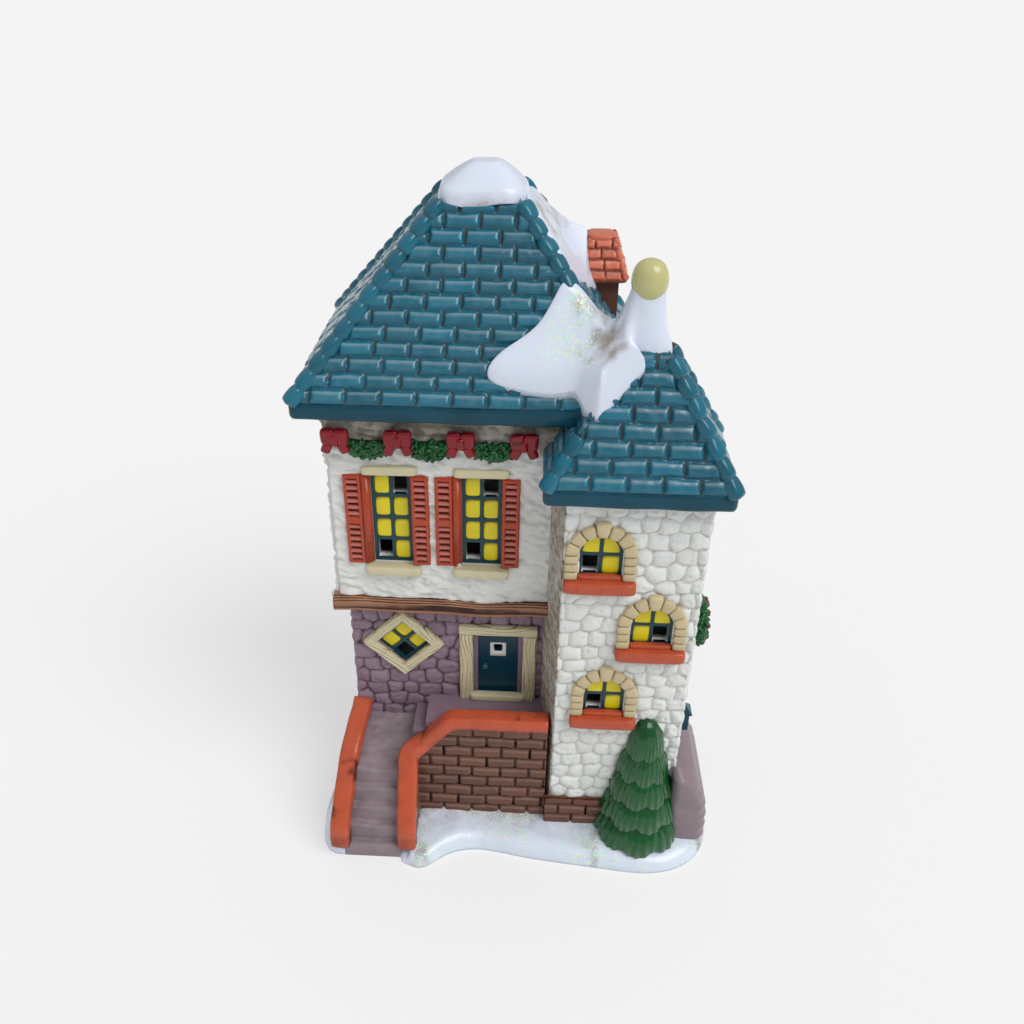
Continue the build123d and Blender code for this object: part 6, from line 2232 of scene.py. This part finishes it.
            piece(f"tower_open_pane_{name}", reveal, WHITE_STONE, "tower_window_panes")
            low_v, high_v = self.bar + pane[1] / 2, spring + 0.0022
            centres = wall.at(np.array((-at_u, -at_u, at_u)), np.array((low_v, high_v, high_v)), self.pane_at)
            half = wall.axes(pane[0] / 2 + 0.0004, pane[1] / 2 + 0.0003, self.pane_depth)
            piece(f"tower_panes_{name}", self.panes(centres, half), YELLOW, "tower_window_panes")
            sill = wall.blob((0.0, -0.0017, 0.0014), wall.axes(0.0096, 0.0018, 0.002), 0.3)
            lip = wall.blob((0.0, 0.0004, 0.0003), wall.axes(0.0059, 0.0009, 0.001), 0.4)
            piece(f"tower_sill_{name}", Surface.joined([sill, lip]), CLAY, "tower_sills")

    def diamond(self) -> None:
        """Diamond window: four timber boards that lap at the corners, and panes."""
        low, high = span("diamond_frame")
        in_low, in_high = span("diamond_lattice")
        wall = Wall.facing((low[0] + high[0]) / 2, house.lower.y0, (low[2] + high[2]) / 2, -BACK)
        reach = (high[0] - low[0]) / 2 - 0.002
        board, step = 0.0031, 0.00018
        surfaces = []
        for number in range(4):
            turn = pi / 4 + number * pi / 2
            along = cos(turn) * wall.along + sin(turn) * UP
            inward = np.cross(wall.normal, along)
            corner = number * pi / 2 - pi / 2
            start = wall.at(1.03 * reach * cos(corner), 1.03 * reach * sin(corner))
            length = reach * 2**0.5 + board * 0.6
            pattern = Timber(depth=0.0016, width=board, edge=0.0007, seed=17 + number)
            u = np.linspace(0, length, int(length / step))[None, :]
            v = np.linspace(0, board, int(board / step) + 4)[:, None]
            height, tone, tint = pattern(*np.broadcast_arrays(u, v))
            flat = start + (u[..., None] - 0.0007) * along + (v[..., None] - 0.0012) * inward
            shown = flat + (height + 0.0001 * (number % 2))[..., None] * wall.normal
            surfaces.append(Surface.sheets(shown, flat - 0.0002 * wall.normal, tone, tint))
        piece("diamond_boards", Surface.joined(surfaces), CREAM, "diamond_frame")
        half = (in_high[0] - in_low[0]) / 4
        centres = wall.at(np.array((-half, half, 0)), np.array((0, 0, half)), self.pane_at)
        panes = self.panes(centres, wall.axes(half * 0.62, half * 0.62, self.pane_depth, pi / 4))
        piece("diamond_yellow_panes", panes, YELLOW, "diamond_panes")


@dataclass
class Entrance:
    """Front door with its timber surround, and the beam over it."""

    step: float = 0.00017
    board_depth: float = 0.0016
    beam_depth: float = 0.0046
    light_share: float = 0.8

    def board(self, wall: Wall, corner: tuple[float, float], size: tuple[float, float], upright: bool,
              seed: int) -> Surface:
        """One timber board on the wall.

        Args:
            wall: the wall's plane.
            corner: lower left corner along and up the wall.
            size: width and height.
            upright: grain runs up instead of along.
            seed: picks the grain.

        Returns:
            The surface.
        """
        plane = Wall(wall.at(*corner), wall.along, wall.normal)
        wide, tall = size
        pattern = Timber(self.board_depth, wide if upright else tall, edge=0.0008, seed=seed)
        turned = (lambda u, v: pattern(v, u)) if upright else pattern
        return wall_slab(plane, size, self.step, turned)

    def build(self) -> None:
        """Make the door and the beam."""
        low, high = span("door_surround")
        jamb_low, jamb_high = span("door_jamb")
        wall = Wall.facing(low[0], low[1] + self.board_depth, low[2], -BACK)
        side = jamb_low[0] - low[0]
        top = high[2] - jamb_high[2]
        wide, tall = high[0] - low[0], high[2] - low[2]
        boards = [
            self.board(wall, (0, 0), (side, tall - top), True, 121),
            self.board(wall, (wide - side, 0), (side, tall - top), True, 123),
            self.board(wall, (0, tall - top), (wide, top), False, 125),
        ]
        piece("door_boards", Surface.joined(boards), CREAM, "door_surround")
        low, high = span("door_step")
        half = (high - low) / 2
        step = blobs((low + high)[None] / 2, wall.axes(half[0] + 0.001, half[2], half[1]), 0.3)
        piece("door_sill", step, CREAM, "door_step")
        leaf_low, leaf_high = span("door_leaf")
        mid_u = (leaf_low[0] + leaf_high[0]) / 2 - wall.origin[0]
        mid_v = leaf_low[2] + self.light_share * (leaf_high[2] - leaf_low[2]) - wall.origin[2]
        face = leaf_low[1] - wall.origin[1]
        across = (0.0013, 0.0024, 0.0024, 0.0013)
        deep = (0.0002, 0.0002, -0.0014, -0.0014)
        loops = [box_profile(2 * a, 2.1 * a, 0.0004) - (0, 0.6 * (a - across[0])) for a in across]
        rings = [wall.at(mid_u + loop[:, 0], mid_v + loop[:, 1], d - face) for loop, d in zip(loops, deep)]
        piece("door_light", Surface.ring(np.stack(rings, axis=1)), PLASTER)
        paint(PURPLE, "door_jamb")
        paint(DOOR, "door_leaf", "side_lantern")
        paint(GOLD, "door_knob")
        self.beam()

    def beam(self) -> None:
        """Timber beam: a rounded box along the wall with waves of grain along it."""
        low, high = span("jetty_beam")
        y, z = low[1] + 0.0011, (low[2] + high[2]) / 2
        path = stacked(np.linspace(low[0], high[0], 260), y, z)
        profile = box_profile(self.beam_depth, high[2] - low[2] + 0.0004, 0.0013, 14)
        rings = sweep(path, profile)
        along = rings[..., 0]
        lift = 0.0006 * np.sin(along / 0.009) + 0.0004 * np.sin(along / 0.0041 + 1)
        around = turns(len(profile))[None, :]
        grain = np.sin(12 * around + 1500 * lift + 1.2 * plane_noise(along, along * 0, 0.011, 131))
        grain = grain + 0.35 * plane_noise(along / 9, around * 0.002 + 0 * along, 0.0007, 133)
        rings = swollen(rings, 1 + 0.06 * grain) + lift[..., None] * UP * 0.5
        tone = 0.1 + 0.9 * smooth(grain, -0.9, 0.3) + 0.4 * smooth(grain, 0.4, 1.0)
        piece("timber_beam", Surface.tube(rings, tone, 0.5 + 0.4 * grain), BEAM, "jetty_beam")


@dataclass
class Greenery:
    """Garland with bows, wreath and fir tree."""

    bow_half: float = 0.0037
    swag_leaves: int = 110
    swag_depth: float = 0.0012
    wreath_leaves: int = 300
    berries: int = 9
    leaf: float = 0.00125
    wreath_leaf: float = 0.0014
    berry: float = 0.0009
    tiers: int = 5
    lobes: int = 8
    seed: int = 141

    def build(self) -> None:
        """Make them."""
        self.swags()
        self.bows()
        self.wreath()
        self.tree()

    def leaves(self, centres: Array, size: float, seed: int) -> Surface:
        """Small pointed leaves in all directions.

        Args:
            centres: leaf, coordinate.
            size: half length of a leaf.
            seed: picks their directions.

        Returns:
            The surface.
        """
        pick = np.random.default_rng(seed)
        first = pick.normal(size=(len(centres), 3)) * (1.0, 0.5, 0.8)
        first /= np.linalg.norm(first, axis=1, keepdims=True)
        other = np.cross(first, pick.normal(size=(len(centres), 3)))
        other /= np.linalg.norm(other, axis=1, keepdims=True)
        axes = np.stack((first, other * 0.6, np.cross(first, other) * 0.4), axis=1) * size
        return blobs(centres, axes, 1.0, seed)

    def places(self) -> Array:
        """Middles of the four bows along the wall."""
        low, high = span("garland_bows")
        return np.linspace(low[0] + self.bow_half + 0.0008, high[0] - self.bow_half, 4)

    def swags(self) -> None:
        """Swags between the bows: a dark crescent with a level top, covered in leaves."""
        low, high = span("garland_swags")
        y, bows = (low[1] + high[1]) / 2, self.places()
        pick = np.random.default_rng(self.seed)
        surfaces, spots = [], []
        for start, end in zip(bows[:-1], bows[1:]):
            share = np.linspace(0.08, 0.92, 40)
            hang = 4 * share * (1 - share)
            top = high[2] - 0.0006 - 0.0008 * hang
            foot = high[2] - 0.0022 - (high[2] - low[2] - 0.0026) * hang
            turn = turns(14)
            run = start + (end - start) * share
            x, mid, half = (part[:, None] for part in (run, (top + foot) / 2, (top - foot) / 2))
            rings = stacked(x, y + self.swag_depth * np.cos(turn), mid + half * np.sin(turn))
            surfaces.append(Surface.tube(rings, 0.25))
            ranges = ((0.1, 0.9), (0, 1), (0.2, 1))
            along, up, out = (pick.uniform(*ends, self.swag_leaves) for ends in ranges)
            level = np.interp(along, share, foot)
            level = level + (np.interp(along, share, top) - level) * up
            bulge = np.sqrt(1 - (2 * up - 1) ** 2)
            spots.append(stacked(start + (end - start) * along, y - 0.0003 - 0.0014 * out * bulge, level))
        surfaces.append(self.leaves(np.concatenate(spots), self.leaf, self.seed + 1))
        piece("garland_leaves", Surface.joined(surfaces), GREEN, "garland_swags")

    def bows(self) -> None:
        """Bows: two square loops, a knot and two tails each, in shares of half a bow."""
        low, high = span("garland_bows")
        half = np.array((self.bow_half, (high[2] - low[2]) / 2))
        wall = Wall.facing(0.0, high[1], (low[2] + high[2]) / 2, -BACK)
        parts = (
            (-0.45, 0.34, 0.54, 0.62, 0.0012, 0.05), (0.45, 0.34, 0.54, 0.62, 0.0012, -0.05),
            (0.0, 0.12, 0.3, 0.5, 0.0016, 0.0),
            (-0.58, -0.52, 0.36, 0.46, 0.0011, -0.4), (0.58, -0.52, 0.36, 0.46, 0.0011, 0.4),
        )
        surfaces = []
        for u, v, wide, tall, deep, turn in parts:
            centres = wall.at(self.places() + u * half[0], np.full(4, v * half[1]), 0.0006)
            surfaces.append(blobs(centres, wall.axes(wide * half[0], tall * half[1], deep, turn), 0.5, 5))
        surface = Surface.joined(surfaces)
        rough = noise(surface.points, 0.0016, self.seed + 3)
        surface.points[:] = surface.points + 0.0003 * rough[:, None] * wall.normal
        surface.tone[:] = smooth(rough, -1.0, -0.2)
        piece("garland_ribbons", surface, RED, "garland_bows")

    def wreath(self) -> None:
        """Wreath of leaves with berries on the tower's right wall."""
        low, high = span("side_wreath")
        mid = (low + high) / 2
        pick = np.random.default_rng(self.seed + 5)
        turn, around = (pick.uniform(0, 2 * pi, self.wreath_leaves) for _ in range(2))
        thick = (high[0] - low[0]) / 2
        reach = (high[2] - low[2]) / 2 - thick
        fat = (thick - self.berry) * np.sqrt(pick.uniform(0.3, 1, self.wreath_leaves))
        radius = reach + fat * np.cos(around)
        spots = mid + stacked(fat * np.sin(around), radius * np.cos(turn), radius * np.sin(turn))
        piece("wreath_leaves", self.leaves(spots, self.wreath_leaf, self.seed + 6), GREEN, "side_wreath")
        angle = turns(self.berries)
        berries = stacked(high[0] - 0.0006, mid[1] + reach * np.cos(angle), mid[2] + reach * np.sin(angle))
        piece("wreath_berries", blobs(berries, np.eye(3) * self.berry, 1.0), RED)

    def tree(self) -> None:
        """Fir tree: tiers like draped cloth. Each is a dome that turns under at its rim, with folds
        and hanging lobes, kept in front of the tower wall."""
        low, high = span("fir_tree")
        tower = house.tower
        axis = (tower.x0 + 0.742 * (tower.x1 - tower.x0), tower.y0 - 0.0002)
        radius, tall = axis[1] - low[1], high[2] - low[2]
        angle = turns(320)[None, :]
        lat = np.linspace(0.04, radians(150), 70)[:, None]
        rise = np.cos(lat) * np.where(np.cos(lat) > 0, 1.0, 0.2)
        surfaces = []
        for tier in range(self.tiers):
            last = tier == self.tiers - 1
            reach = np.sin(lat) ** (1.0 if last else 0.8)
            out = reach**2
            wide = radius * (1 - 0.145 * tier)
            foot = low[2] + 0.0018 + tall * 0.18 * tier
            step = high[2] - foot if last else tall * 0.225
            turn = angle + tier * 2.1
            lobe = np.abs(np.cos(self.lobes * turn / 2)) ** 0.7
            fold = 0.5 + 0.5 * np.cos(self.lobes * 4 * turn + 1.5 * np.sin(3 * turn))
            r = wide * reach * (1 - 0.07 * out * (1 - lobe) - 0.03 * out * (1 - fold))
            z = foot + step * rise - 0.0018 * out * lobe
            x, y = axis[0] + r * np.cos(angle), axis[1] + r * np.sin(angle)
            rings = stacked(x, np.minimum(y, tower.y0 + 0.0008), np.maximum(z, low[2] - 0.0005))
            rings = rings + 0.00015 * noise(rings, 0.002, self.seed + tier)[..., None]
            # Painted shade in the folds, between the lobes and under each rim. The tone rises above 1 towards
            # the rims as a painted highlight, and the tint lightens the rims and darkens the tops, which lie
            # under the next tier.
            tone = (0.6 + 0.4 * fold) * (0.6 + 0.4 * smooth(lobe, 0.0, 0.4))
            tone = tone * smooth(rise, -0.1, 0.02) * (1.6 - rise)
            surfaces.append(Surface.tube(rings, tone, 0.7 - 0.4 * rise))
        piece("fir_tiers", Surface.joined(surfaces), GREEN, "fir_tree")


def main() -> None:
    """Build the scene in order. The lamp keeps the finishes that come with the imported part."""
    Studio().build()
    SnowBase().build()
    WallSkins().build()
    Masonry().build()
    Stairs().build()
    roofs = Roofs()
    roofs.build()
    RoofSnow(roofs).build()
    Windows().build()
    Entrance().build()
    Greenery().build()
    bpy.context.scene.view_settings.view_transform = "Standard"
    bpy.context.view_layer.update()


if __name__ == "__main__":
    main()
